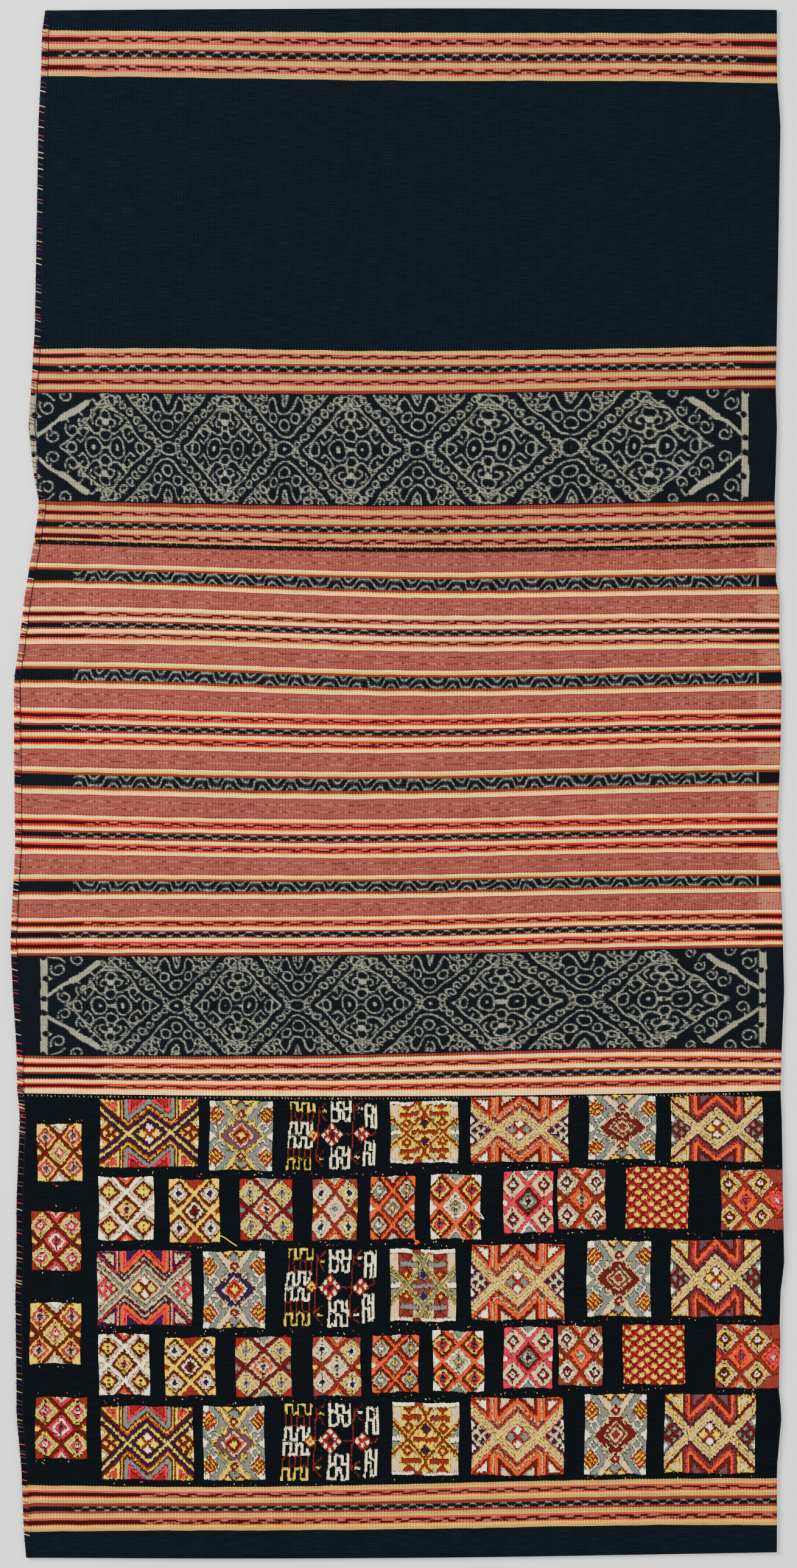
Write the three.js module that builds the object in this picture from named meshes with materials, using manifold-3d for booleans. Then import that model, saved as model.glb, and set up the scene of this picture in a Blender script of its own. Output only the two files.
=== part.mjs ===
// A woman's tubular skirt of three warp-striped cotton panels, laid flat with its front up.
// Millimetres, +Z up. The origin lies under the middle of the cloth: +X runs to the folded edge,
// +Y to the waist edge, and the back layer rests on z = 0.
//
// Each panel is one loop of cloth: a flat back layer, a round fold at the right, a front layer
// with low ripples, and a whip-stitched side seam at the left that closes the loop. The loops
// are open at their upper and lower edges and lie edge to edge, SEAM_GAP apart.

import * as THREE from 'three';
import { mergeVertices } from 'three/addons/utils/BufferGeometryUtils.js';
import Module from 'manifold-3d';

const wasm = await Module();
wasm.setup();

// Cloth
const LENGTH = 1275;             // waist edge to hem
const CLOTH = 1.2;               // thickness of one layer of the handspun cotton
const LAYER_GAP = 0.8;           // air between the back layer and the front layer
const SEAM_GAP = 0.3;            // between two neighbouring panels

// Side seam at the left edge
const SEAM_ALLOWANCE = 6;        // width of the turned and sewn ends
const SEAM_RIDGE = 0.5;          // how far the seam stands above the front layer

// Patches of extra weft on the hem panel
const PATCH_RELIEF = 0.7;        // how far a patch stands above its ground
const PATCH_ROOT = 0.7;          // how deep a patch is bound into the front layer
const PATCH_CORNER = 2.5;        // cut of a patch's corners

// Steps of the surfaces
const FRONT_STEPS = 16;          // columns across one layer
const FOLD_STEPS = 4;            // facets of the fold
const ROW_SPACING = 60;          // widest spacing of the sections down the cloth

// Outline of the flat cloth, a row for each place where an edge turns.
// down: from the waist edge; left and right: from the middle line to each edge.
const OUTLINE = [
  { down: 0, left: 289, right: 312 },
  { down: 20, left: 292, right: 312 },
  { down: 57, left: 293, right: 312 },
  { down: 95, left: 295, right: 315 },
  { down: 265, left: 298, right: 312 },
  { down: 312, left: 301, right: 311 },
  { down: 345, left: 303, right: 312 },
  { down: 382, left: 299, right: 311 },
  { down: 409, left: 294, right: 310 },
  { down: 440, left: 299, right: 312 },
  { down: 470, left: 304, right: 311 },
  { down: 482, left: 306, right: 314 },
  { down: 525, left: 311, right: 314 },
  { down: 552, left: 315, right: 316 },
  { down: 606, left: 315, right: 315 },
  { down: 690, left: 314, right: 312 },
  { down: 710, left: 315, right: 315 },
  { down: 767, left: 318, right: 317 },
  { down: 808, left: 316, right: 318 },
  { down: 855, left: 313, right: 316 },
  { down: 893, left: 312, right: 315 },
  { down: 911, left: 310, right: 316 },
  { down: 980, left: 313, right: 317 },
  { down: 1033, left: 313, right: 318 },
  { down: 1055, left: 314, right: 315 },
  { down: 1132, left: 313, right: 313 },
  { down: 1156, left: 313, right: 316 },
  { down: 1200, left: 309, right: 312 },
  { down: 1252, left: 307, right: 312 },
  { down: LENGTH, left: 305, right: 312 },
];

// Lines that run across the cloth. down: from the waist edge, at the left; rise: further down
// at the right end than at the left; bow: further down in the middle than a straight line.
const CROSS_LINES = {
  waist: { down: 2.5, rise: -0.5, bow: -1.5 },
  upperSeam: { down: 439.5, rise: 2.5, bow: 5.5 },
  lowerSeam: { down: 892, rise: -2, bow: 3.5 },
  hem: { down: 1273.7, rise: -4.6, bow: 2.4 },
};

// Low ripples of the front layer: a row for each wave. across and down: wavelengths along the
// two ways of the cloth; height: of the crest over the mean; turn: phase in turns.
const RIPPLES = [
  { across: 410, down: 900, height: 0.32, turn: 0.10 },
  { across: -260, down: 340, height: 0.26, turn: 0.45 },
  { across: 1500, down: 210, height: 0.18, turn: 0.80 },
];
const RIPPLE_REST = 0.8;         // mean height of the front layer over its lowest place

// Patches. Every row has a place down the cloth and the set of columns that it holds; x is the
// column's middle, from the middle line of the cloth.
const WIDE_COLUMNS = [
  { x: -205.5, width: 78 },
  { x: -131, width: 51.5 },
  { x: 22.5, width: 56 },
  { x: 100, width: 78 },
  { x: 182, width: 53.5 },
  { x: 261, width: 75 },
];
const NARROW_COLUMNS = [
  { x: -223.5, width: 44 },
  { x: -168, width: 42 },
  { x: -108, width: 44 },
  { x: -50.5, width: 38.5 },
  { x: -2.5, width: 38 },
  { x: 49, width: 42 },
  { x: 107.5, width: 41 },
  { x: 151, width: 38.5 },
  { x: 212, width: 51 },
  { x: 289.5, width: 50 },
];
const EDGE_COLUMN = [{ x: -279, width: 40 }];
const PATCH_ROWS = [
  { down: 923, height: 56, columns: WIDE_COLUMNS },
  { down: 984.5, height: 51, columns: NARROW_COLUMNS },
  { down: 1047.5, height: 62, columns: WIDE_COLUMNS },
  { down: 1112.5, height: 50, columns: NARROW_COLUMNS },
  { down: 1175, height: 61, columns: WIDE_COLUMNS },
  { down: 939, height: 48, columns: EDGE_COLUMN },
  { down: 1012, height: 49, columns: EDGE_COLUMN },
  { down: 1087, height: 51, columns: EDGE_COLUMN },
  { down: 1166, height: 50, columns: EDGE_COLUMN },
];

const TOTAL_HEIGHT = 2 * CLOTH + LAYER_GAP;
const PANEL_TOP = LENGTH / 2;    // y of down = 0

// Reads one column of a table whose rows are sorted by their down value.
function readTable(table, column, down) {
  const next = table.findIndex((row) => row.down >= down);
  if (next <= 0) return next === 0 ? table[0][column] : table[table.length - 1][column];
  const [above, below] = [table[next - 1], table[next]];
  const share = (down - above.down) / (below.down - above.down);
  return THREE.MathUtils.lerp(above[column], below[column], share);
}

// How far down the cloth a cross line runs at the share u of the width, 0 at the left edge.
function lineDown(line, u) {
  return line.down + line.rise * u + line.bow * Math.sin(Math.PI * u);
}

// Height of the front layer over its lowest place.
function ripple(x, y) {
  const waves = RIPPLES.map(({ across, down, height, turn }) =>
    height * Math.sin(2 * Math.PI * (x / across + y / down + turn)));
  return waves.reduce((sum, wave) => sum + wave, RIPPLE_REST);
}

// A point of the flat cloth: u runs from the left edge to the right one, and v from the line
// above to the line below.
function clothPoint(upper, lower, u, v) {
  const down = (share) => THREE.MathUtils.lerp(lineDown(upper, share), lineDown(lower, share), v);
  const left = -readTable(OUTLINE, 'left', down(0));
  const right = readTable(OUTLINE, 'right', down(1));
  return { x: THREE.MathUtils.lerp(left, right, u), y: PANEL_TOP - down(u), left, right };
}

// The stations round one section of the loop. Each has its share u of the width, the layer it
// lies in, and for the fold and the seam its place in them.
function loopStations() {
  const stations = [];
  for (let i = 0; i <= FRONT_STEPS; i += 1) stations.push({ part: 'back', u: i / FRONT_STEPS });
  for (let i = 1; i < FOLD_STEPS; i += 1) stations.push({ part: 'fold', turn: i / FOLD_STEPS });
  for (let i = FRONT_STEPS; i >= 0; i -= 1) stations.push({ part: 'front', u: i / FRONT_STEPS });
  stations.push({ part: 'seam', z: TOTAL_HEIGHT, edge: 0.4 }, { part: 'seam', z: CLOTH, edge: 0 });
  return stations;
}

// The outer and the inner point of a station in the section at v.
function stationPoints(station, upper, lower, v) {
  const radius = TOTAL_HEIGHT / 2;
  if (station.part === 'fold') {
    const end = clothPoint(upper, lower, 1, v);
    const angle = Math.PI * (station.turn - 0.5);
    const lift = ripple(end.right, end.y) * station.turn;
    return [radius, LAYER_GAP / 2].map((reach) => new THREE.Vector3(
      end.right - radius + reach * Math.cos(angle), end.y,
      radius + reach * Math.sin(angle) + lift));
  }
  if (station.part === 'seam') {
    const end = clothPoint(upper, lower, 0, v);
    const share = station.z / TOTAL_HEIGHT;
    const lift = ripple(end.left, end.y) * share;
    return [
      new THREE.Vector3(end.left + station.edge, end.y, station.z + lift),
      new THREE.Vector3(end.left + SEAM_ALLOWANCE - 0.3, end.y,
        CLOTH + LAYER_GAP * (0.25 + 0.5 * Math.round(share)) + lift),
    ];
  }
  const place = clothPoint(upper, lower, station.u, v);
  const inLeft = place.left + SEAM_ALLOWANCE;
  const inRight = place.right - radius;
  const outLeft = place.left + CLOTH;
  const inner = THREE.MathUtils.lerp(inLeft, inRight, station.u);
  const outer = THREE.MathUtils.lerp(outLeft, inRight, station.u);
  if (station.part === 'back') {
    return [new THREE.Vector3(outer, place.y, 0), new THREE.Vector3(inner, place.y, CLOTH)];
  }
  const ridge = station.u === 0 ? SEAM_RIDGE : 0;
  return [
    new THREE.Vector3(outer, place.y, TOTAL_HEIGHT + ripple(outer, place.y) + ridge),
    new THREE.Vector3(inner, place.y, CLOTH + LAYER_GAP + ripple(inner, place.y)),
  ];
}

// The sections down one panel: both edges, and between them the outline's own rows, with
// further ones where those are far apart.
function sectionShares(upper, lower) {
  const marks = OUTLINE.map((row) => (row.down - upper.down) / (lower.down - upper.down));
  const inside = marks.filter((mark) => mark > 0.01 && mark < 0.99);
  const shares = [0];
  for (const mark of [...inside, 1]) {
    const last = shares[shares.length - 1];
    const steps = Math.ceil((mark - last) * (lower.down - upper.down) / ROW_SPACING);
    for (let i = 1; i <= steps; i += 1) shares.push(last + (mark - last) * i / steps);
  }
  return shares;
}

// One closed loop of cloth between two cross lines: an outer skin, an inner skin, and a rim
// that joins them at each open edge.
function panelGeometry(upper, lower) {
  const stations = loopStations();
  const shares = sectionShares(upper, lower);
  const count = stations.length;
  const positions = [];
  for (const v of shares) {
    for (const station of stations) {
      for (const point of stationPoints(station, upper, lower, v)) positions.push(...point);
    }
  }
  const vertex = (row, station, skin) => (row * count + (station % count)) * 2 + skin;
  const faces = [];
  const quad = (a, b, c, d) => faces.push(a, b, c, a, c, d);
  for (let s = 0; s < count; s += 1) {
    for (let r = 0; r + 1 < shares.length; r += 1) {
      quad(vertex(r, s, 0), vertex(r, s + 1, 0), vertex(r + 1, s + 1, 0), vertex(r + 1, s, 0));
      quad(vertex(r, s, 1), vertex(r + 1, s, 1), vertex(r + 1, s + 1, 1), vertex(r, s + 1, 1));
    }
    const last = shares.length - 1;
    quad(vertex(0, s, 0), vertex(0, s, 1), vertex(0, s + 1, 1), vertex(0, s + 1, 0));
    quad(vertex(last, s, 0), vertex(last, s + 1, 0), vertex(last, s + 1, 1), vertex(last, s, 1));
  }
  const geometry = new THREE.BufferGeometry();
  geometry.setAttribute('position', new THREE.Float32BufferAttribute(positions, 3));
  geometry.setIndex(faces);
  return geometry;
}

// The edge line above the hem panel at a given x, for what lies on that panel.
function groundDrift(x, down) {
  const u = (x + readTable(OUTLINE, 'left', down))
    / (readTable(OUTLINE, 'left', down) + readTable(OUTLINE, 'right', down));
  const { lowerSeam, hem } = CROSS_LINES;
  const share = (down - lowerSeam.down) / (hem.down - lowerSeam.down);
  const middle = THREE.MathUtils.lerp(lineDown(lowerSeam, u), lineDown(hem, u), share);
  return middle - down;
}

// One raised patch: an eight-sided pad with cut corners that follows the ripples of the ground.
function patchGeometry(x, down, width, height) {
  const drift = groundDrift(x, down);
  const [halfX, halfY, cut] = [width / 2, height / 2, PATCH_CORNER];
  const rim = [
    [halfX - cut, -halfY], [halfX, cut - halfY], [halfX, halfY - cut], [halfX - cut, halfY],
    [cut - halfX, halfY], [-halfX, halfY - cut], [-halfX, cut - halfY], [cut - halfX, -halfY],
  ];
  const corners = [[0, 0], ...rim].map(([dx, dy]) => {
    const place = { x: x + dx, y: PANEL_TOP - down - drift + dy };
    return { ...place, ground: TOTAL_HEIGHT + ripple(place.x, place.y) };
  });
  const positions = [
    ...corners.flatMap(({ x: px, y, ground }) => [px, y, ground + PATCH_RELIEF]),
    ...corners.flatMap(({ x: px, y, ground }) => [px, y, ground - PATCH_ROOT]),
  ];
  const under = corners.length;
  const faces = [];
  for (let i = 0; i < rim.length; i += 1) {
    const [a, b] = [1 + i, 1 + (i + 1) % rim.length];
    faces.push(0, a, b, under, under + b, under + a);
    faces.push(a, under + a, under + b, a, under + b, b);
  }
  const geometry = new THREE.BufferGeometry();
  geometry.setAttribute('position', new THREE.Float32BufferAttribute(positions, 3));
  geometry.setIndex(faces);
  return geometry;
}

// A closed geometry as a solid that can be joined.
function toSolid(geometry) {
  const merged = mergeVertices(geometry);
  return new wasm.Manifold(new wasm.Mesh({
    numProp: 3,
    vertProperties: merged.attributes.position.array,
    triVerts: new Uint32Array(merged.index.array),
  }));
}

// A joined solid as a geometry again.
function toGeometry(solid) {
  const { vertProperties, triVerts } = solid.getMesh();
  const geometry = new THREE.BufferGeometry();
  geometry.setAttribute('position', new THREE.BufferAttribute(vertProperties, 3));
  geometry.setIndex(new THREE.BufferAttribute(triVerts, 1));
  return geometry;
}

// The hem panel's loop with its raised patches joined to its front layer.
function hemPanelGeometry(upper, lower) {
  let solid = toSolid(panelGeometry(upper, lower));
  for (const { down, height, columns } of PATCH_ROWS) {
    for (const { x, width } of columns) {
      solid = solid.add(toSolid(patchGeometry(x, down, width, height)));
    }
  }
  return toGeometry(solid);
}

// The cross line moved half a seam's gap down the cloth, or up with a negative sign.
function besideSeam(line, sign) {
  return { ...line, down: line.down + sign * SEAM_GAP / 2 };
}

function cottonMesh(name, geometry, color) {
  const flat = geometry.index ? geometry.toNonIndexed() : geometry;
  flat.computeVertexNormals();
  const material = new THREE.MeshStandardMaterial({ color, roughness: 0.9, metalness: 0 });
  const mesh = new THREE.Mesh(flat, material);
  mesh.name = name;
  return mesh;
}

const { waist, upperSeam, lowerSeam, hem } = CROSS_LINES;
const skirt = new THREE.Group();
skirt.add(
  cottonMesh('panel_waist', panelGeometry(waist, besideSeam(upperSeam, -1)), '#16212c'),
  cottonMesh('panel_middle',
    panelGeometry(besideSeam(upperSeam, 1), besideSeam(lowerSeam, -1)), '#a9554f'),
  cottonMesh('panel_hem', hemPanelGeometry(besideSeam(lowerSeam, 1), hem), '#10151c'),
);

export default skirt;
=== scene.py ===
"""A woman's tubular skirt of three cotton panels, laid flat and face up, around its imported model.

Everything is worked out in millimetres with numpy and put into meshes in metres. x runs along the
warp to the folded edge at the right, y to the waist edge, and z up from the floor. Places down the
cloth are given as their distance from the waist edge at the cloth's left end, and drift tables say
how each line then rises and bows on its way to the fold.
"""

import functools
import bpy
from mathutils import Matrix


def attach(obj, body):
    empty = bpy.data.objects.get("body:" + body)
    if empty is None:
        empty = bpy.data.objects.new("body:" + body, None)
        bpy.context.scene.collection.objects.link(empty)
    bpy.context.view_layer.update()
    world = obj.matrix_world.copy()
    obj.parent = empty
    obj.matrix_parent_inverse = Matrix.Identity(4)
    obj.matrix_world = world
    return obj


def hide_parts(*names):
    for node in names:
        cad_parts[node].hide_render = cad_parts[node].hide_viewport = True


bl_info = {
    "name": "Tubular Skirt Cloth",
    "version": (1, 0, 0),
    "blender": (4, 5, 0),
    "location": "View3D > Sidebar > Skirt",
    "description": "Builds a flat tubular skirt with ikat bands, warp stripes and woven patches",
    "category": "Add Mesh",
}

import bpy
import numpy as np

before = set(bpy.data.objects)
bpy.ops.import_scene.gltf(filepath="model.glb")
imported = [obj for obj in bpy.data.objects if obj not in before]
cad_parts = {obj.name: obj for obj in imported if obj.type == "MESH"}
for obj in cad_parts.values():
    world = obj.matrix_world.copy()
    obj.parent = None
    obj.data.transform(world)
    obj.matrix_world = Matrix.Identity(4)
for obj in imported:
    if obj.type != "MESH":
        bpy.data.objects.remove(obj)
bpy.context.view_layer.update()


MM = 0.001
PANEL_TOP = 637.5        # y of the waist edge's line, in mm
WAIST_EDGE = 2.5         # the cloth's edges and panel joins: places down its left end, in mm
UPPER_JOIN = 439.5
LOWER_JOIN = 892.0
HEM_EDGE = 1273.7
PHOTO_SIZE = (1309, 2576)
PHOTO_MIDDLE = 652.5     # column of the photograph that lies on x = 0
PHOTO_TOP = 12.0         # row of the photograph that lies at the waist edge
PIXEL = 0.5              # mm of cloth to one pixel of the photograph

# Outline of the flat cloth: distance from the waist edge, then from the middle line to the left
# edge and to the right edge, in mm. It repeats the table of the part's source.
OUTLINE = np.array([
    (0, 289, 312), (20, 292, 312), (57, 293, 312), (95, 295, 315), (265, 298, 312),
    (312, 301, 311), (345, 303, 312), (382, 299, 311), (409, 294, 310), (440, 299, 312),
    (470, 304, 311), (482, 306, 314), (525, 311, 314), (552, 315, 316), (606, 315, 315),
    (690, 314, 312), (710, 315, 315), (767, 318, 317), (808, 316, 318), (855, 313, 316),
    (893, 312, 315), (911, 310, 316), (980, 313, 317), (1033, 313, 318), (1055, 314, 315),
    (1132, 313, 313), (1156, 313, 316), (1200, 309, 312), (1252, 307, 312), (1275, 305, 312),
], dtype=float)

# Lines across the cloth: place at the left end, how much lower the right end lies, and how far
# three waves of one, two and three half turns take the line down on its way, in mm. Panel edges
# agree with the part's source.
DRIFT = np.array([
    (2.5, -0.5, -1.5, 0, 0), (19, 2.8, 0.5, 0.1, 0), (38, 5.3, -0.3, 0.2, -0.6),
    (56.5, 5.9, 0.1, 0.4, -0.5), (280.5, -2, 2.3, -0.7, -0.7), (299, -2.8, 1.3, -0.2, -0.4),
    (316.5, -3.5, 2.5, 0.3, -0.4), (406, 0.5, 3.8, 0.3, -0.3), (423, -0.5, 4.4, -0.1, -0.4),
    (439, 2.5, 5.5, 0, 0), (440, 2.5, 5.5, 0, 0), (457, 4.5, 4.9, -0.3, -0.7),
    (476, 5.5, 4.8, -0.9, -1), (492.5, 6.2, 3.4, -0.3, -1), (507.5, 5.2, 2.9, -0.7, -1),
    (522.5, 3.6, 2.8, -0.9, -1.2), (538.5, 3.3, 4.7, -0.8, -1), (558, 2.6, 5.1, -0.7, -0.8),
    (575.5, 1.5, 5.2, 0.1, -0.7), (591.5, 0, 4.3, 0.3, -0.7), (608, -1.2, 3.5, 0.3, -0.7),
    (624, -0.8, 4.7, 0.8, -0.5), (645.5, -2.3, 5.1, 0.7, -0.6), (663, -0.6, 4.2, 1, -0.4),
    (679, -0.8, 4.3, 1, -0.4), (695, -0.9, 2.8, 1, -0.8), (713, -3.7, 1.8, 0.6, -0.5),
    (732.5, -6.3, 1.4, 0.3, -0.4), (749, -6.7, 1, 0.5, -0.7),
    (779, -7.2, 2.1, 0.3, -0.2), (862.5, -5.2, 0.6, 1.6, -0.4), (878, -2.5, 1.3, 1.7, -0.4),
    (891.5, -2, 3.5, 0, 0), (892.5, -2, 3.5, 0, 0), (1214, -5.9, 2.2, 1.5, 0),
    (1233, -6.9, 1.3, 0.6, -0.2), (1252.5, -5.6, -0.2, 0.4, -0.6), (1273.7, -4.6, 2.4, 0, 0),
])

# Low ripples of the front layer: the two wavelengths, the height and the phase of each wave.
RIPPLES = ((410, 900, 0.32, 0.10), (-260, 340, 0.26, 0.45), (1500, 210, 0.18, 0.80))
RIPPLE_REST = 0.8        # mm from a ripple's lowest place to its middle
RIDGE_START = 3.0        # mm from the turned edge over which the seam's ridge stays full
RIDGE_TRIM = 4.0         # mm by which its slope is narrower than the turned ends


def linear(code):
    """An sRGB hex value as linear light: a straight part below 0.04045, a power of 2.4 above."""
    parts = [int(code[i:i + 2], 16) / 255 for i in (0, 2, 4)]
    return tuple(p / 12.92 if p <= 0.04045 else ((p + 0.055) / 1.055) ** 2.4 for p in parts)


def colour_setting(name, description, code):
    """A colour in the panel, with its default given as sRGB hex."""
    return bpy.props.FloatVectorProperty(
        name=name, description=description, default=linear(code),
        size=3, min=0.0, max=1.0, subtype="COLOR")


def length_setting(name, description, millimetres):
    """A length in the panel, with its default given in millimetres."""
    return bpy.props.FloatProperty(
        name=name, description=description, default=millimetres * MM, min=0.0, unit="LENGTH")


class SkirtSizes(bpy.types.PropertyGroup):
    """Sizes of the cloth that a user may change."""

    cloth: length_setting("Cloth", "Thickness of one layer of cotton", 1.2)
    layer_gap: length_setting("Layer gap", "Air between the back and the front layer", 0.8)
    seam_gap: length_setting("Seam gap", "Space between two neighbouring panels", 0.3)
    seam_width: length_setting("Side seam", "Width of the turned ends at the left edge", 6.0)
    seam_ridge: length_setting("Seam ridge", "Height of the side seam over the front", 0.5)
    rib: length_setting("Rib", "Spacing of the weft ribs", 2.4)
    warp: length_setting("Warp yarn", "Spacing of the warp yarns", 0.7)
    float_yarn: length_setting("Float yarn", "Width of one yarn of a woven patch", 1.15)
    patch_relief: length_setting("Patch relief", "Height of a woven patch", 0.8)
    stitch: length_setting("Stitch", "Thickness of the sewing thread", 0.7)


class SkirtColours(bpy.types.PropertyGroup):
    """Colours of the panels' yarns."""

    indigo: colour_setting("Indigo", "Ground of the upper panel and the hem", "040b13")
    night: colour_setting("Night indigo", "Ground of the lower panel", "02060a")
    dark: colour_setting("Dark strip", "Dyed ground of the ikat strips", "060b10")
    cream: colour_setting("Cream", "Undyed cotton", "f6c070")
    straw: colour_setting("Straw", "Cream of the upper bands", "b08642")
    yellow: colour_setting("Yellow", "Yellow stripes", "d6a303")
    rose: colour_setting("Rose", "Faded pink-red stripes", "a9352f")
    red: colour_setting("Red", "Bright red stripes", "ab0618")
    maroon: colour_setting("Maroon", "Dark dashes", "2a080a")
    brick: colour_setting("Brick", "Brown-red lines", "6d261e")
    pink: colour_setting("Pink", "Ground of the pink zones", "6e2c29")
    speck: colour_setting("Pink specks", "Light specks of the pink zones", "bd7c5c")
    ash: colour_setting("Ash", "Grey-brown bits of the broken lines", "8a6350")
    dyed_light: colour_setting("Ikat light", "Undyed figures of the ikat", "7b7563")
    dyed_half: colour_setting("Ikat half-tone", "Half-dyed edges of the figures", "343e40")


class PatchColours(bpy.types.PropertyGroup):
    """Colours of the extra-weft yarns of the patches."""

    white: colour_setting("White", "Undyed white yarn", "fdf0c0")
    cream: colour_setting("Cream", "Undyed cream yarn", "d3b47c")
    yellow: colour_setting("Yellow", "Yellow yarn", "eec606")
    orange: colour_setting("Orange", "Orange yarn", "cd4410")
    brick: colour_setting("Brick", "Brown-red yarn", "771f14")
    maroon: colour_setting("Maroon", "Dark maroon yarn", "580e0c")
    purple: colour_setting("Purple", "Purple yarn", "240b36")
    pink: colour_setting("Pink", "Pink yarn", "c31435")
    mauve: colour_setting("Mauve", "Faded mauve yarn", "5d383e")
    grey: colour_setting("Grey", "Faded grey yarn", "6b6f63")
    red: colour_setting("Red", "Red yarn", "8c1410")
    rust: colour_setting("Rust", "Faded rust yarn", "7b2a22")
    ground: colour_setting("Ground", "Bare cloth between the yarns", "03070b")


YARNS = tuple(PatchColours.__annotations__)


def edge_at(down, side):
    """x of the cloth's left edge (side 1) or right edge (side 2) at a distance down the cloth."""
    reach = np.interp(down, OUTLINE[:, 0], OUTLINE[:, side])
    return -reach if side == 1 else reach


def place(down, share):
    """The point of the flat cloth at a row and a share of the width.

    The row's line is its place at the left, plus its rise times the share, plus the sines of
    one, two and three half turns over the width; x is read off straight between the two edges.
    """
    rise, *bows = (np.interp(down, DRIFT[:, 0], DRIFT[:, k]) for k in range(1, 5))
    waves = [bow * np.sin(np.pi * (k + 1) * share) for k, bow in enumerate(bows)]
    y = PANEL_TOP - down - rise * share - sum(waves)
    return edge_at(down, 1), edge_at(down + rise, 2), y


def total_height(sizes):
    """Height of both layers and the air between them, in mm."""
    return (2 * sizes.cloth + sizes.layer_gap) / MM


def ripple(x, y):
    """Height of the front layer over its lowest place: a sum of three slanting sine waves."""
    waves = [height * np.sin(2 * np.pi * (x / across + y / down + turn))
             for across, down, height, turn in RIPPLES]
    return RIPPLE_REST + sum(waves)


def front_height(x, y, sizes):
    """Height of the front layer's face over the floor.

    It is both layers and their gap, plus the ripples, plus the side seam's ridge, which falls
    off over half a cosine near the left edge.
    """
    past_edge = x - edge_at(PANEL_TOP - y, 1) - sizes.cloth / MM - RIDGE_START
    fall = np.clip(past_edge / (sizes.seam_width / MM - RIDGE_TRIM), 0, 1)
    ridge = sizes.seam_ridge / MM * (0.5 + 0.5 * np.cos(np.pi * fall))
    return total_height(sizes) + ripple(x, y) + ridge


def fold_drop(x, y, sizes):
    """How far the front has turned down at the fold: the depth of a circle past its top."""
    radius = total_height(sizes) / 2
    past = np.clip((x - edge_at(PANEL_TOP - y, 2) + radius) / radius, 0, 1)
    return radius * (1 - np.sqrt(1 - past ** 2))


def add_mesh(name, points, faces):
    """Puts points in mm and faces into a new object that sits at the origin, in metres."""
    mesh = bpy.data.meshes.new(name)
    mesh.from_pydata((np.asarray(points) * MM).tolist(), [], faces)
    mesh.update(calc_edges=True)
    piece = bpy.data.objects.new(name, mesh)
    bpy.context.scene.collection.objects.link(piece)
    return piece


def add_node(tree, kind, *values, named=None, **settings):
    """Adds a shader node and gives its first output.

    The settings are its own choices. The values or links go to its sockets in order, and the
    named ones to the sockets of their names.
    """
    node = tree.nodes.new("ShaderNode" + kind)
    for key, value in settings.items():
        setattr(node, key, value)
    given = list(zip((socket for socket in node.inputs if socket.enabled), values))
    given += [(node.inputs[key], value) for key, value in (named or {}).items()]
    for socket, value in given:
        if isinstance(value, bpy.types.NodeSocket):
            tree.links.new(value, socket)
        else:
            socket.default_value = value
    return next((socket for socket in node.outputs if socket.enabled), None)


def new_material(name):
    """An empty node material, and the call that adds a node to it."""
    material = bpy.data.materials.new(name)
    material.use_nodes = True
    material.node_tree.nodes.clear()
    return material, functools.partial(add_node, material.node_tree)


def weave_sockets(add, sizes):
    """What every woven cotton reads: place on the cloth, rib profile and yarn streaks.

    The rib profile is a rounded zigzag of the distance along the warp, one rib apart. The
    streaks are noise drawn out along the warp, one yarn high.
    """
    uv = add("UVMap", uv_map="weave")
    across = add("SeparateXYZ", uv)
    down = across.node.outputs[1]
    slow = add("TexNoise", uv, 45.0, 1.0, noise_dimensions="2D")
    swayed = add("Math", slow, 0.0022, across, operation="MULTIPLY_ADD")
    fold = add("Math", swayed, sizes.rib / 2, operation="PINGPONG")
    rib = add("MapRange", fold, 0.0, sizes.rib / 2, interpolation_type="SMOOTHSTEP")
    drawn = add("Mapping", uv, named={"Scale": (70.0, 1.0 / sizes.warp, 1.0)})
    streak = add("TexNoise", drawn, 1.0, 2.0, noise_dimensions="2D")
    return {"uv": uv, "across": across, "down": down, "slow": slow, "rib": rib, "streak": streak}


def drawn_noise(add, weave, along, over, detail=1.0):
    """Noise on the weave, with so many patches to a metre along the warp and over it."""
    drawn = add("Mapping", weave["uv"], named={"Scale": (along, over, 1.0)})
    return add("TexNoise", drawn, 1.0, detail, noise_dimensions="2D")


def finish_cotton(material, add, weave, colour, depth=0.22, streaks=0.35):
    """Gives a colour the ribs, uneven yarn, fading and soft nap of handspun cotton.

    The colour is scaled by one factor: painted shade in the valleys between ribs with a faint
    painted highlight on their crests, and lighter or darker from yarn to yarn and slowly over the
    cloth. The same rib and yarn make the bump.
    """
    # Painted shade and highlight: valleys between ribs are darkened by depth, and crests lightened
    # by a third of it
    valley = add("MapRange", weave["rib"], 0.0, 1.0, 1.0 - depth, 1.0 + depth / 3)
    yarn = add("MapRange", weave["streak"], 0.3, 0.7, 1.0 - streaks, 1.0 + streaks)
    faded = add("MapRange", weave["slow"], 0.3, 0.7, 0.93, 1.07)
    both = add("Math", valley, yarn, operation="MULTIPLY")
    factor = add("Math", both, faded, operation="MULTIPLY")
    toned = add("VectorMath", colour, factor, operation="SCALE")
    height = add("Math", weave["streak"], 0.5, weave["rib"], operation="MULTIPLY_ADD")
    bump = add("Bump", named={"Height": height, "Strength": 1.0, "Distance": 0.3 * MM})
    shader = add("BsdfPrincipled", named={
        "Base Color": toned, "Normal": bump, "Roughness": 0.88, "Specular IOR Level": 0.05,
        "Sheen Weight": 0.03, "Sheen Roughness": 0.5})
    add("OutputMaterial", shader)
    return material


def solid(colour):
    """A colour with full cover."""
    return (colour[0], colour[1], colour[2], 1.0)


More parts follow.
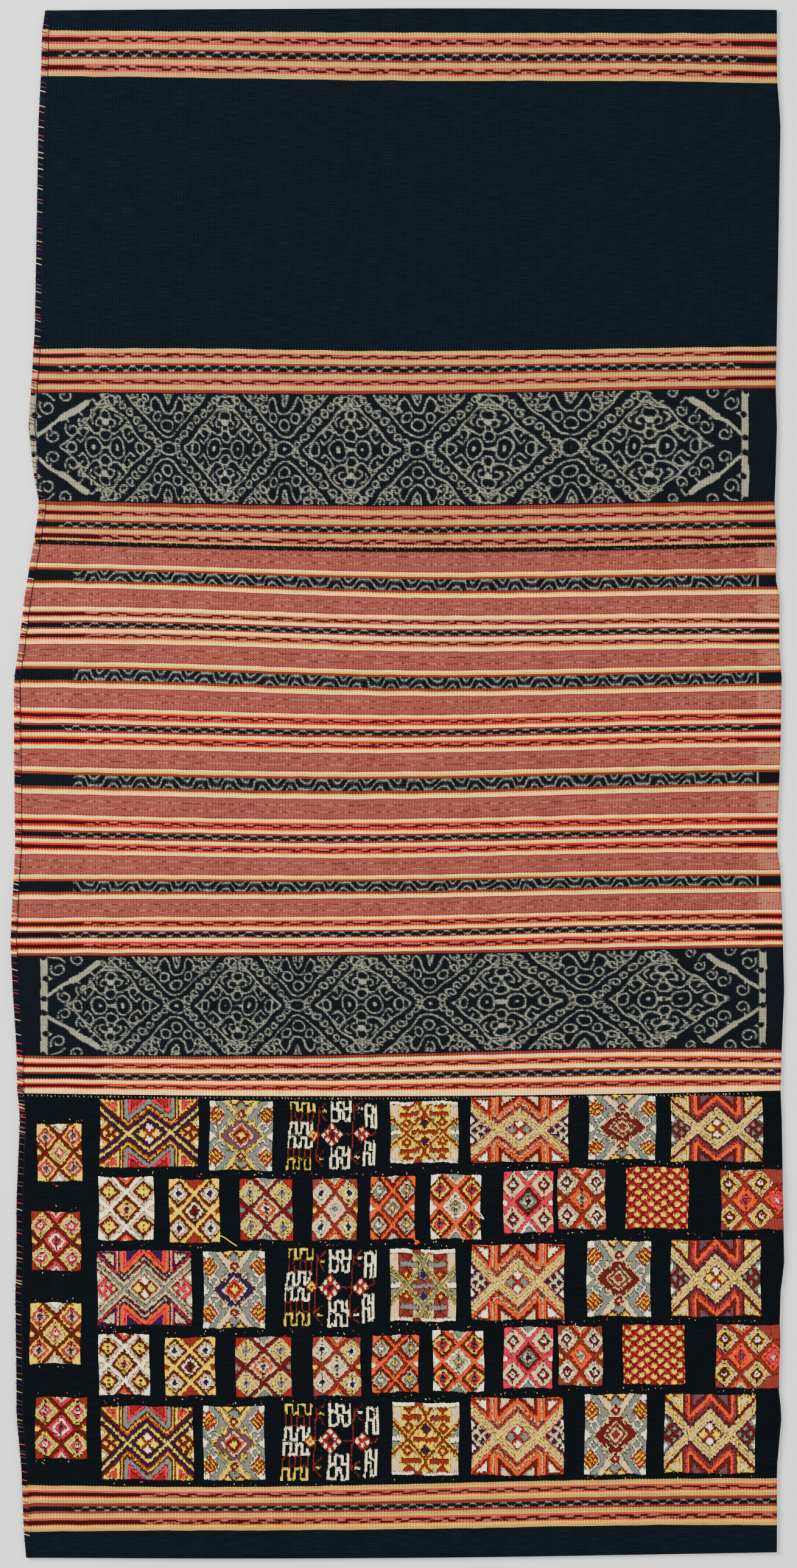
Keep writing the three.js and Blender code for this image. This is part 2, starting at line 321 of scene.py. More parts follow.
def plain_cotton(name, colour, sizes):
    """Warp-faced handspun cotton of one dye bath, with paler flecks where the dye took less."""
    material, add = new_material(name)
    weave = weave_sockets(add, sizes)
    flecks = add("MapRange", weave["streak"], 0.52, 0.8, 0.0, 0.5)
    pale = solid([2.5 * part for part in colour])
    dyed = add("Mix", flecks, solid(colour), pale, data_type="RGBA")
    return finish_cotton(material, add, weave, dyed, depth=0.3, streaks=0.25)


# Warp stripes of the bands, from the top down.
STRAW_ORDER = ("straw", "rose", "dash", "rose", "straw", "brick", "figure", "brick", "straw",
               "rose", "dash", "rose", "straw")
CREAM_ORDER = ("cream", "yellow", "red", "dash", "red", "yellow", "cream", "brick", "figure",
               "brick", "cream", "yellow", "red", "dash", "red", "yellow", "cream")
ROSE_ORDER = tuple("rose" if yarn == "red" else yarn for yarn in CREAM_ORDER)
HEM_ORDER = tuple("straw" if yarn == "cream" else yarn for yarn in ROSE_ORDER)
WAVE_ORDER = ("cream", "yellow", "brick", "figure", "brick", "yellow", "cream")

BAND_MARGIN = 2.0        # pixels of the neighbour's ground that a band's group takes along
FADED_FROM = 296.0       # x from which the middle panel is faded, beside the fold, in mm
DASH_SPREAD = 0.5        # pixels by which the dashes reach into the lines beside them
DASH_LENGTH = 18.5       # mm from one dash to the next
WAVE_LENGTH = 25.0       # mm of one wave of a wide strip
DOT_LENGTH = 12.3        # mm from dot to dot in a narrow strip
BLANK = (0.0, 0.0, 0.0, 1.0)


def set_steps(output, stops):
    """Fills a colour ramp with steps: a colour holds from its stop to the next one."""
    ramp = output.node.color_ramp
    ramp.interpolation = "CONSTANT"
    while len(ramp.elements) > 1:
        ramp.elements.remove(ramp.elements[-1])
    ramp.elements[0].position, ramp.elements[0].color = stops[0]
    for start, colour in stops[1:]:
        ramp.elements.new(start).color = colour
    return output


def figure_sockets(add, weave, place_in_strip, arched):
    """Light and half-tone cover of the tied figures of a narrow ikat strip.

    The main line is a wave with flat crests: 1.4 times the sine of the turn, held at 0.76 of the
    half strip. Wide strips have a small arch in each bend as well, and in the others the line is
    fine at its crests. The cover falls off with the distance to the nearest line, and noise
    drawn out along the warp roughens it.
    """
    period = WAVE_LENGTH if arched else DOT_LENGTH
    turn = add("Math", weave["across"], 2 * np.pi / (period * MM), operation="MULTIPLY")
    turn = add("Math", weave["down"], 15.0, turn, operation="MULTIPLY_ADD")
    swayed = add("Math", weave["slow"], 2.5, turn, operation="MULTIPLY_ADD")
    sine = add("Math", swayed, operation="SINE")
    size = add("Math", sine, operation="ABSOLUTE")
    side = add("Math", sine, operation="SIGN")
    turned = add("Math", place_in_strip, side, operation="MULTIPLY")
    crest = add("Math", size, 1.4, operation="MULTIPLY")
    held = add("Math", crest, 0.76, operation="MINIMUM")
    gap = add("Math", turned, held, operation="SUBTRACT")
    distance = add("Math", gap, operation="ABSOLUTE")
    if arched:
        bend = add("Math", size, -1.67, 1.97, operation="MULTIPLY_ADD")
        off = add("Math", turned, bend, operation="ADD")
        arch = add("Math", off, operation="ABSOLUTE")
        distance = add("Math", distance, arch, operation="MINIMUM")
    else:
        distance = add("Math", size, -0.32, distance, operation="MULTIPLY_ADD")
        distance = add("Math", distance, 0.12, operation="ADD")
    rough = drawn_noise(add, weave, 260.0, 900.0)
    fuzzy = add("Math", rough, 0.55, distance, operation="MULTIPLY_ADD")
    light = add("MapRange", fuzzy, 0.26, 0.48, 1.0, 0.0)
    half = add("MapRange", fuzzy, 0.45, 0.8, 0.6, 0.0)
    return light, half


def distance_from(add, across, x):
    """Distance along the warp from a place on the cloth, in metres."""
    off = add("Math", across, x, operation="SUBTRACT")
    return add("Math", off, operation="ABSOLUTE")


def outside_span(add, across, span):
    """One beyond two columns of the photograph and nought between them, over 3 mm."""
    left, right = ((column - PHOTO_MIDDLE) * PIXEL * MM for column in span)
    half = (right - left) / 2
    far = distance_from(add, across, (left + right) / 2)
    return add("MapRange", far, half - 1.5 * MM, half + 1.5 * MM)


def banded_cotton(name, order, edges, before, after, spans, colours, sizes, arched=False):
    """Warp stripes of dyed yarn with serrated edges, dark dashes and one strip of ikat figures.

    The place in the band runs from 0 to 1 down it, and its edges are rows of the photograph.
    Ribs push the warp yarns to and fro by half a yarn, which the eye sees as toothed edges.
    Dashes are noise drawn out along the warp. The spans are columns of the photograph: the
    first and last of the broken dashes, then of the ikat figures.
    """
    material, add = new_material(name)
    weave = weave_sockets(add, sizes)
    height = (edges[-1] - edges[0]) * PIXEL
    share = add("SeparateXYZ", add("UVMap", uv_map="band")).node.outputs[1]
    tooth, sway = 0.42 / height, 0.9 / height
    toothed = add("Math", weave["rib"], tooth, share, operation="MULTIPLY_ADD")
    swayed = add("Math", weave["slow"], sway, toothed, operation="MULTIPLY_ADD")
    down = add("Math", swayed, (tooth + sway) / 2, operation="SUBTRACT")
    whole = edges[-1] - edges[0] + 2 * BAND_MARGIN
    stops = [(edge - edges[0] + BAND_MARGIN) / whole for edge in edges]
    for i, yarn in enumerate(order):
        if yarn == "dash":
            stops[i] -= DASH_SPREAD / whole
            stops[i + 1] += DASH_SPREAD / whole
    stripes = list(zip(stops[:-1], stops[1:], order))
    yarns = {yarn: solid(getattr(colours, yarn)) for yarn in
             ("straw", "cream", "yellow", "rose", "red", "brick", "indigo", "night", "pink")}
    yarns["ikat"] = yarns["figure"] = solid(colours.dark)
    yarns["dash"] = solid(tuple(0.35 * a + 0.5 * b + 0.15 * c for a, b, c in zip(
        colours.rose, colours.ash, colours.maroon)))
    steps = [(start, yarns[yarn]) for start, _, yarn in stripes]
    steps = [(0.0, yarns[before]), *steps, (stops[-1], yarns[after])]
    # The marks' red says dash, green says figure, and blue says lower line of a dash
    zones = {"dash": (1.0, 0.0, 0.0, 1.0), "figure": (0.0, 1.0, 0.0, 1.0)}
    marks = [(start, zones.get(yarn, BLANK)) for start, _, yarn in stripes]
    marks += [(0.0, BLANK), (stops[-1], BLANK)]
    marks += [((start + end) / 2, (1.0, 0.0, 1.0, 1.0)) for start, end, yarn in stripes
              if yarn == "dash"]
    marks.sort()
    marks = [marks[0], *(b for a, b in zip(marks, marks[1:]) if a[1] != b[1])]
    colour = set_steps(add("ValToRGB", down), steps)
    in_dash = add("SeparateColor", set_steps(add("ValToRGB", down), marks))
    in_figure, lower = in_dash.node.outputs[1:3]
    # Dark dashes in two staggered lines, solid near both ends of the band
    sides = add("MapRange", lower, 0.0, 1.0, -1.0)
    turn = add("Math", weave["across"], 2 * np.pi / (DASH_LENGTH * MM), operation="MULTIPLY")
    turn = add("Math", weave["slow"], 9.0, turn, operation="MULTIPLY_ADD")
    wave = add("Math", turn, operation="SINE")
    wave = add("Math", wave, sides, operation="MULTIPLY")
    patchy = drawn_noise(add, weave, 220.0, 1100.0)
    wave = add("Math", patchy, 2.6, wave, operation="MULTIPLY_ADD")
    dash = add("MapRange", wave, 0.75, 1.35)
    dashed = add("Math", dash, outside_span(add, weave["across"], spans[:2]), operation="MAXIMUM")
    dashes = add("Math", dashed, in_dash, operation="MULTIPLY")
    colour = add("Mix", dashes, colour, solid(colours.maroon), data_type="RGBA")
    # Figures of the dark strip, left out at both ends
    start, end, _ = stripes[order.index("figure")]
    in_strip = add("MapRange", down, start, end, 1.0, -1.0, clamp=False)
    light, half = figure_sockets(add, weave, in_strip, arched)
    outside = outside_span(add, weave["across"], spans[2:])
    inside = add("Math", 1.0, outside, operation="SUBTRACT")
    shown = add("Math", inside, in_figure, operation="MULTIPLY")
    # A light line across the wide strips, where the middle panel begins to be faded
    far = distance_from(add, weave["across"], FADED_FROM * MM)
    line = add("MapRange", far, 0.4 * MM, 1.1 * MM, 0.8 if arched else 0.0, 0.0)
    line = add("Math", line, in_figure, operation="MULTIPLY")
    colour = add("Mix", line, colour, solid(colours.dyed_light), data_type="RGBA")
    for cover, dye in ((half, colours.dyed_half), (light, colours.dyed_light)):
        part = add("Math", cover, shown, operation="MULTIPLY")
        colour = add("Mix", part, colour, solid(dye), data_type="RGBA")
    return finish_cotton(material, add, weave, colour, streaks=0.2, depth=0.32)


def speckled_cotton(name, colours, sizes):
    """Pink warp with cream weft showing as specks, and two thin dark-and-light dashed lines.

    The specks are the product of two cosines, one rib and two yarn rows long, so that they sit
    like the black squares of a chessboard. They are drawn twice as coarse as real, to show.
    """
    material, add = new_material(name)
    weave = weave_sockets(add, sizes)
    share = add("SeparateXYZ", add("UVMap", uv_map="band")).node.outputs[1]
    waves = []
    for way, length in ((weave["across"], 2.4), (weave["down"], 1.5)):
        turn = add("Math", way, 2 * np.pi / (length * MM), operation="MULTIPLY")
        waves.append(add("Math", turn, operation="COSINE"))
    chess = add("Math", *waves, operation="MULTIPLY")
    rough = drawn_noise(add, weave, 500.0, 800.0, 2.0)
    uneven = add("Math", rough, 1.6, chess, operation="MULTIPLY_ADD")
    specks = add("MapRange", uneven, 0.8, 2.1, 0.0, 0.6)
    speck = solid(colours.speck)
    colour = add("Mix", specks, solid(colours.pink), speck, data_type="RGBA")
    faded = add("MapRange", weave["across"], (FADED_FROM - 1) * MM, (FADED_FROM + 1) * MM,
                0.0, 0.22)
    colour = add("Mix", faded, colour, speck, data_type="RGBA")
    # Two dashed lines, each under 1 mm wide
    lit = (1.0, 1.0, 1.0, 1.0)
    lines = set_steps(add("ValToRGB", share), [
        (0.0, BLANK), (0.25, lit), (0.33, BLANK), (0.63, lit), (0.71, BLANK)])
    tone = add("MapRange", drawn_noise(add, weave, 170.0, 420.0), 0.47, 0.55)
    thread = add("Mix", tone, solid(colours.ash), solid(colours.maroon), data_type="RGBA")
    cover = add("Math", lines, 0.55, operation="MULTIPLY")
    colour = add("Mix", cover, colour, thread, data_type="RGBA")
    return finish_cotton(material, add, weave, colour, streaks=0.18, depth=0.14)


def ikat_cotton(name, colours, sizes):
    """Warp tied and dyed before weaving: light figures with half-dyed, feathered edges.

    The figures come from the mesh: at each point, the distance in mm to the edge of the nearest
    charted stroke. Every warp yarn slips a little, so noise one yarn high moves the edge.
    """
    material, add = new_material(name)
    weave = weave_sockets(add, sizes)
    reach = add("Attribute", attribute_name="ikat").node.outputs["Fac"]
    slip = drawn_noise(add, weave, 300.0, 1500.0, 2.0)
    feathered = add("Math", slip, 2.3, reach, operation="MULTIPLY_ADD")
    light = add("MapRange", feathered, 0.8, 1.35, 1.0, 0.0)
    half = add("MapRange", feathered, 1.1, 2.0, 0.6, 0.0)
    colour = add("Mix", half, solid(colours.dark), solid(colours.dyed_half), data_type="RGBA")
    colour = add("Mix", light, colour, solid(colours.dyed_light), data_type="RGBA")
    return finish_cotton(material, add, weave, colour, streaks=0.25)


def yarn_material(name):
    """Loosely twisted dyed cotton yarn: its colour comes with the mesh, with fine fibres."""
    material, add = new_material(name)
    colour = add("Attribute", attribute_name="yarn")
    coordinates = add("TexCoord").node.outputs["Object"]
    drawn = add("Mapping", coordinates, named={"Scale": (1600.0, 260.0, 900.0)})
    fibres = add("TexNoise", drawn, 1.0, 2.0)
    tone = add("MapRange", fibres, 0.3, 0.7, 0.8, 1.15)
    toned = add("VectorMath", colour, tone, operation="SCALE")
    bump = add("Bump", named={"Height": fibres, "Strength": 0.8, "Distance": 0.2 * MM})
    shader = add("BsdfPrincipled", named={
        "Base Color": toned, "Normal": bump, "Roughness": 0.8, "Specular IOR Level": 0.08,
        "Sheen Weight": 0.04, "Sheen Roughness": 0.5})
    add("OutputMaterial", shader)
    return material


# The ikat chart, in pixels of the photograph: one quarter of a unit, mirrored both ways. x runs
# outwards from the middle of the unit's diamond, and y from the band's middle line.
UNIT_HALF = 109.0
BAND_HALF = 92.0
LINE_HALF = 1.15
INSIDE_LINES = (
    (0, 1, 9, 1), (41, 21, 43, 25), (0, 88, 6, 92),
    (49, 16, 42, 9, 34, 17, 29, 27, 35, 34, 42, 33, 47, 26),
    (5, 36, 7, 27, 13, 22, 20, 23, 28, 31, 36, 41), (6, 46, 12, 48, 17, 43, 16, 36, 11, 35),
    (18, 54, 24, 50, 27, 44, 23, 38), (20, 60, 14, 64, 3, 66, 0, 71),
    (78, 0, 68, 8, 58, 19, 47, 31, 37, 43, 26, 55, 14, 67, 4, 79),
)
OUTSIDE_LINES = (
    (109, 19, 100, 21, 92, 28, 84, 38, 72, 50, 60, 62, 50, 73, 41, 84, 35, 93),
    (109, 57, 103, 58, 97, 66, 93, 78, 88, 86, 81, 80, 78, 70, 82, 62),
    (109, 69, 105, 76, 102, 92), (109, 81, 107, 92),
)
INSIDE_RINGS = ((21, 1, 12.5, 15), (0, 21, 9, 9), (58, 2, 7, 9), (1, 54, 8.5, 8), (9, 78, 9, 8.5))
OUTSIDE_RINGS = ((109, 0, 14, 12), (109, 38, 9.5, 9), (90, 52, 7, 8))
OUTSIDE_CURLS = (
    (88, 10), (76, 21), (65, 34), (54, 45), (43, 57), (32, 69), (21, 82), (72, 66), (61, 77),
    (50, 89), (70, 87),
)
CURL_RADIUS = 7.8
DOTS = ((21, 1, 2.5), (109, 0, 2), (0, 43, 5))
# The two ends of a band: x is the distance inwards from its border, and curls have a radius.
END_CURLS = (
    (30, 67, 13.5), (111, 59, 10), (91, 44, 10.5), (71, 31, 12.5), (40, 17, 12), (61, 86, 11),
    (126, 86, 9),
)
END_LINES = (
    (93, 77, 104, 80, 112, 70), (41, 79, 31, 88, 12, 90), (0, 4, 8, 0), (88, 54, 80, 64),
    (65, 43, 57, 50), (36, 28, 33, 34),
)
END_BAR = (94, 76, 76, 63, 52, 47)
END_BAR_HALF = 5.0
END_TAPER = (52, 47, 37, 37, 14, 19)
END_TAPER_HALF = 2.6
BORDER_TOOTH = (50, 0.55, 11.5)      # place, slope and half width of the border's tooth
END_UNITS = (102.0, 147.0)           # columns from the outer diamonds to the unit's ends
BORDER_HALF = 6.0
BORDER_DOTS = ((6, 13, 5.5), (9, 50, 5.5), (5, 88, 6))
# Both bands: rows of the photograph, border columns, diamonds and ring columns.
IKAT_BANDS = (
    ((644, 823), (48, 1230), (173, 370, 576, 802, 1066), (276, 467, 686, 938)),
    ((1569.7, 1734.5), (66, 1259), (182, 390, 594, 823, 1090), (290, 489, 706, 960)),
)
FAR = 6.0                            # pixels beyond which the field says no more


def curl(x, y, radius, start=-60, turns=1.05, steps=14):
    """A spiral hook: the radius shrinks evenly to two fifths while it turns."""
    share = np.linspace(0, 1, steps)
    angle = np.radians(start) + 2 * np.pi * turns * share
    reach = radius * (1 - 0.6 * share)
    return np.stack([x + reach * np.cos(angle), y + reach * np.sin(angle)], axis=1)


def oval(x, y, wide, high, steps=17):
    """A closed oval about a centre, from its two half widths."""
    angle = np.linspace(0, 2 * np.pi, steps)
    return np.stack([x + wide * np.cos(angle), y + high * np.sin(angle)], axis=1)


def reach_of(x, y, lines, half):
    """Distance from points to the edge of the nearest line.

    For each straight piece it is the distance to the foot of the perpendicular, held between
    the piece's ends; the smallest is taken, less half the line's width.
    """
    nearest = np.full(x.shape, 1e3)
    for line in lines:
        line = np.asarray(line, dtype=float).reshape(-1, 2)
        for (ax, ay), (bx, by) in zip(line[:-1], line[1:]):
            length = (bx - ax) ** 2 + (by - ay) ** 2
            along = np.clip(((x - ax) * (bx - ax) + (y - ay) * (by - ay)) / length, 0, 1)
            gap = np.hypot(x - ax - along * (bx - ax), y - ay - along * (by - ay))
            nearest = np.minimum(nearest, gap)
    return nearest - half


def ikat_reach(x, down, band):
    """The chart's field over one band: below zero inside a light stroke, in mm.

    x is folded about the nearest diamond and stretched so that the next ring column lies at the
    unit's half length; y is folded about the middle line. The ties are uneven: slow sine waves
    push the chart about by up to 4 pixels.
    """
    (top, bottom), (left, right), centres, between = band
    column = x / PIXEL + PHOTO_MIDDLE
    signed = down / PIXEL + PHOTO_TOP - (top + bottom) / 2
    y = np.abs(signed) * 2 * BAND_HALF / (bottom - top)
    knots = sorted(centres + between)
    stations = [knots[0] - END_UNITS[0], *knots, knots[-1] + END_UNITS[1]]
    values = [UNIT_HALF if i % 2 == 0 else 0.0 for i in range(len(stations))]
    unit = np.interp(column, stations, values)
    unit = unit + 1.6 * np.sin(signed * 0.11 + column * 0.045) + 1.2 * np.sin(
        column * 0.16 - signed * 0.07)
    y = y + 1.5 * np.sin(column * 0.12 + signed * 0.03) + 1.0 * np.sin(column * 0.05 + 1.7)
    y = np.abs(y)
    ovals = [oval(*shape) for shape in INSIDE_RINGS]
    inside = reach_of(unit, y, [*INSIDE_LINES, *ovals], LINE_HALF)
    for a, b, radius in DOTS:
        inside = np.minimum(inside, np.hypot(unit - a, y - b) - radius)
    ovals = [oval(*shape) for shape in OUTSIDE_RINGS]
    curls = [curl(a, b, CURL_RADIUS, start=-100 + 37 * k)
             for k, (a, b) in enumerate(OUTSIDE_CURLS)]
    outside = reach_of(unit, y, [*OUTSIDE_LINES, *ovals, *curls], LINE_HALF)
    inward = np.minimum(column - left, right - column)
    curls = [curl(a, b, radius, start=150) for a, b, radius in END_CURLS]
    tooth_at, slope, tooth_half = BORDER_TOOTH
    ends = np.minimum.reduce([
        reach_of(inward, y, [*END_LINES, *curls], LINE_HALF),
        reach_of(inward, y, [END_BAR], END_BAR_HALF),
        reach_of(inward, y, [END_TAPER], END_TAPER_HALF),
        np.abs(y - tooth_at) + slope * inward - tooth_half,
        np.abs(inward - BORDER_HALF) - BORDER_HALF])
    for a, b, radius in BORDER_DOTS:
        ends = np.maximum(ends, radius - np.hypot(inward - a, y - b))
    # Past the outer diamonds' slanting sides the end's own chart takes over
    end_unit = (column < knots[0]) | (column > knots[-1])
    past = unit / 80 + y / 84 - 1.03
    field = np.where(end_unit, np.where(past > 0, ends, inside), np.minimum(inside, outside))
    field = np.where(end_unit & (np.abs(past) < 0.06), np.minimum(inside, ends), field)
    return np.where(inward < 0, FAR, np.clip(field, -FAR, FAR)) * PIXEL


def row_of(pixel):
    """Distance from the waist edge, in mm, of a row of the photograph at its left end."""
    return (pixel - PHOTO_TOP) * PIXEL


def panel_groups(upper, lower, groups):
    """The groups of a panel in mm: start, end and material, banded ones with their margins."""
    starts = [upper, *(row_of(start) for start, _ in groups[1:]), lower]
    spans = [[start, end, finish] for start, end, (_, finish) in zip(starts, starts[1:], groups)]
    for above, below in zip(spans, spans[1:]):
        shift = BAND_MARGIN * PIXEL * (("band" in above[2]) - ("band" in below[2]))
        above[1] += shift
        below[0] += shift
    return spans


def panel_rows(spans, coarse=12.0, fine=1.0, rim=0.25):
    """Rows down a panel: every group starts and ends on one, and ikat groups are finely cut.

    A close row at both edges keeps the rim's shading off the face.
    """
    rows = [spans[0][0]]
    owner, shares = [], []
    for number, (start, end, finish) in enumerate(spans):
        step = fine if finish == "ikat" else coarse
        cuts = np.linspace(start, end, max(1, int(np.ceil((end - start) / step))) + 1)
        if number == 0:
            cuts = np.insert(cuts, 1, start + rim)
        if number == len(spans) - 1:
            cuts = np.insert(cuts, len(cuts) - 1, end - rim)
        share = (cuts - start) / (end - start)
        rows.extend(cuts[1:])
        owner.extend([number] * (len(cuts) - 1))
        shares.extend(zip(share[:-1], share[1:]))
    return np.array(rows), np.array(owner), np.array(shares)


def loop_section(rows, across, sizes, inner):
    """One skin of a panel's loop: rows down the cloth by stations round it, as x, y and z.

    Going round: the back layer from left to right, half a circle for the fold, the front layer
    from right to left, and a half ellipse for the sewn left edge. The front carries the ripples,
    and near the left edge the seam's ridge, half a cosine wide.
    """
    down = rows[:, None]
    total, cloth = total_height(sizes), sizes.cloth / MM
    radius = total / 2
    inset = sizes.seam_width / MM if inner else cloth
    reach = radius - cloth if inner else radius
    blocks = []
    for layer, count in zip(("back", "front"), across):
        share = np.linspace(0, 1, count + 1)[None, :]
        left, right, y = place(down, share)
        start, end = left + inset, right - radius
        x = start + (end - start) * share
        if layer == "back":
            z = np.full(x.shape, cloth if inner else 0.0)
            blocks.append(np.stack([x, y, z], axis=-1))
        else:
            z = ripple(x, y) + total - cloth if inner else front_height(x, y, sizes)
            blocks.append(np.stack([x, y, z], axis=-1)[:, ::-1])
    turn = np.linspace(0, 1, 6)[None, 1:-1]
    left, right, y = place(down, np.ones_like(turn))
    angle = np.pi * (turn - 0.5)
    x = right - radius + reach * np.cos(angle)
    z = radius + reach * np.sin(angle) + ripple(right, y) * turn
    blocks.insert(1, np.stack([x, y + 0 * x, z], axis=-1))
    turn = np.linspace(0, 1, 4 if inner else 6)[None, 1:-1]
    angle = np.pi * (0.5 + turn)
    top, bottom = blocks[2][:, -1:, 2], blocks[0][:, :1, 2]
    left, right, y = place(down, np.zeros_like(turn))
    x = left + inset + (0.3 if inner else cloth) * np.cos(angle)
    z = (top + bottom) / 2 + (top - bottom) / 2 * np.sin(angle)
    blocks.append(np.stack([x, y + 0 * x, z], axis=-1))
    return np.concatenate(blocks, axis=1)


def grid_faces(rows, columns, first, turned=False):
    """Quads of a skin that closes on itself sideways."""
    r, c = np.meshgrid(np.arange(rows - 1), np.arange(columns), indexing="ij")
    right = (c + 1) % columns
    quads = np.stack([r * columns + c, r * columns + right,
                      (r + 1) * columns + right, (r + 1) * columns + c], axis=-1) + first
    quads = quads.reshape(-1, 4)
    return quads[:, ::-1] if turned else quads


def rim_faces(outer, inner, turned=False):
    """Triangles between two rings with different numbers of points, joined like a zipper.

    Both rings run from 0 to 1. Each step along a ring makes one triangle with the point that
    the other ring has reached by then.
    """
    a = np.linspace(0, 1, len(outer) + 1)
    b = np.linspace(0, 1, len(inner) + 1)
    reached = np.searchsorted(b[1:], a[1:], side="left")
    first = np.stack([outer, np.roll(outer, -1), inner[reached % len(inner)]], axis=1)
    reached = np.searchsorted(a[1:], b[1:], side="right")
    second = np.stack([np.roll(inner, -1), inner, outer[reached % len(outer)]], axis=1)
    faces = np.concatenate([first, second])
    return faces[:, ::-1] if turned else faces


def make_panel(context, name, node, groups, upper, lower, across):
    """One closed loop of cloth with its materials, weave coordinates and ikat field."""
    sizes = context.scene.skirt_sizes
    materials = cotton_materials(groups, sizes, context.scene.skirt_colours)
    spans = panel_groups(upper, lower, groups)
    rows, owner, shares = panel_rows(spans)
    outer = loop_section(rows, across, sizes, inner=False)
    inner_rows = np.linspace(rows[0], rows[-1], 18)
    inner = loop_section(inner_rows, (16, 16), sizes, inner=True)
    count, width = outer.shape[:2]
    inner_count, inner_width = inner.shape[:2]
    outside, lined = np.arange(width), np.arange(inner_width) + count * width
    skin = grid_faces(count, width, 0, turned=True)
    lining = grid_faces(inner_count, inner_width, count * width)
    top = rim_faces(outside, lined)
    bottom = rim_faces(outside + (count - 1) * width,
                       lined + (inner_count - 1) * inner_width, turned=True)
    points = np.concatenate([outer.reshape(-1, 3), inner.reshape(-1, 3)])
    faces = [*skin.tolist(), *lining.tolist(), *top.tolist(), *bottom.tolist()]
    panel = add_mesh(name, points, faces)
    mesh = panel.data
    used = [materials[finish] for _, _, finish in spans]
    slots = list(dict.fromkeys(material.name for material in used))
    for slot in slots:
        mesh.materials.append(bpy.data.materials[slot])
    number = np.array([slots.index(material.name) for material in used])
    index = np.concatenate([
        np.repeat(number[owner], width), np.zeros(len(lining), int),
        np.full(len(top), number[0]), np.full(len(bottom), number[-1])])
    mesh.polygons.foreach_set("material_index", index.astype(np.int32))
    smooth = np.arange(len(faces)) < len(skin) + len(lining)
    mesh.polygons.foreach_set("use_smooth", smooth)
    # Weave coordinates: x along the warp and the straightened distance down the cloth
    down = np.concatenate([np.repeat(rows, width), np.repeat(inner_rows, inner_width)])
    weave = np.stack([points[:, 0], down], axis=1) * MM
    corners = np.empty(len(mesh.loops), dtype=np.int32)
    mesh.loops.foreach_get("vertex_index", corners)
    weave = weave[corners]
    mesh.uv_layers.new(name="weave").data.foreach_set("uv", weave.ravel())
    # The skin's quads are turned, so their corners run below, below, above, above
    band = np.stack([weave[:, 0], np.zeros(len(corners))], axis=1)
    part = np.repeat(shares[:, None, :], width, axis=1).reshape(-1, 2)
    band[:4 * len(skin), 1] = part[:, [1, 1, 0, 0]].ravel()
    # The turned strip at the left edge has slipped down or up by up to a millimetre
    strip = weave[:, 0] / MM < edge_at(weave[:, 1] / MM, 1) + sizes.seam_width / MM
    heights = np.array([end - start for start, end, _ in spans])
    tall = np.concatenate([np.repeat(heights[owner], 4 * width),
                           np.ones(len(corners) - 4 * len(skin))])
    slipped = np.clip(band[:, 1] + 0.9 * np.sin(weave[:, 1] / MM / 9) / tall, 0, 1)
    band[:, 1] = np.where(strip, slipped, band[:, 1])
    mesh.uv_layers.new(name="band").data.foreach_set("uv", band.ravel())
    field = np.full(len(points), FAR * PIXEL)
    flat_down = down[:count * width]
    for chart in IKAT_BANDS:
        low, high = (row_of(pixel) for pixel in chart[0])
        held = np.flatnonzero((flat_down > low - 0.1) & (flat_down < high + 0.1))
        if len(held):
            field[held] = ikat_reach(points[held, 0], flat_down[held], chart)
    mesh.attributes.new("ikat", "FLOAT", "POINT").data.foreach_set("value", field)
    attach(panel, "root")
    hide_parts(node)
    return panel


# Groups of each panel: where they start, as rows of the photograph, and their cotton.
WAIST_GROUPS = (
    (17, "indigo"), (50, "band_waist"), (125, "indigo"), (573.3, "band_over_ikat"),
    (644, "ikat"), (823, "band_under_ikat"),
)
MIDDLE_GROUPS = (
    (891.3, "pink"), (924.7, "band_waves"), (964.5, "pink"), (996, "band_rose"),
    (1057.5, "pink"), (1087, "band_waves"), (1128.5, "pink"), (1161.5, "band_red"),
    (1229, "pink"), (1258.5, "band_waves"), (1303, "pink"), (1337, "band_red"),
    (1402.5, "pink"), (1436.5, "band_waves"), (1477.5, "pink"), (1508.5, "band_last"),
    (1569.7, "ikat"), (1734.5, "band_edge"),
)
HEM_GROUPS = ((1796.3, "night"), (2440, "band_hem"), (2516.7, "indigo"))

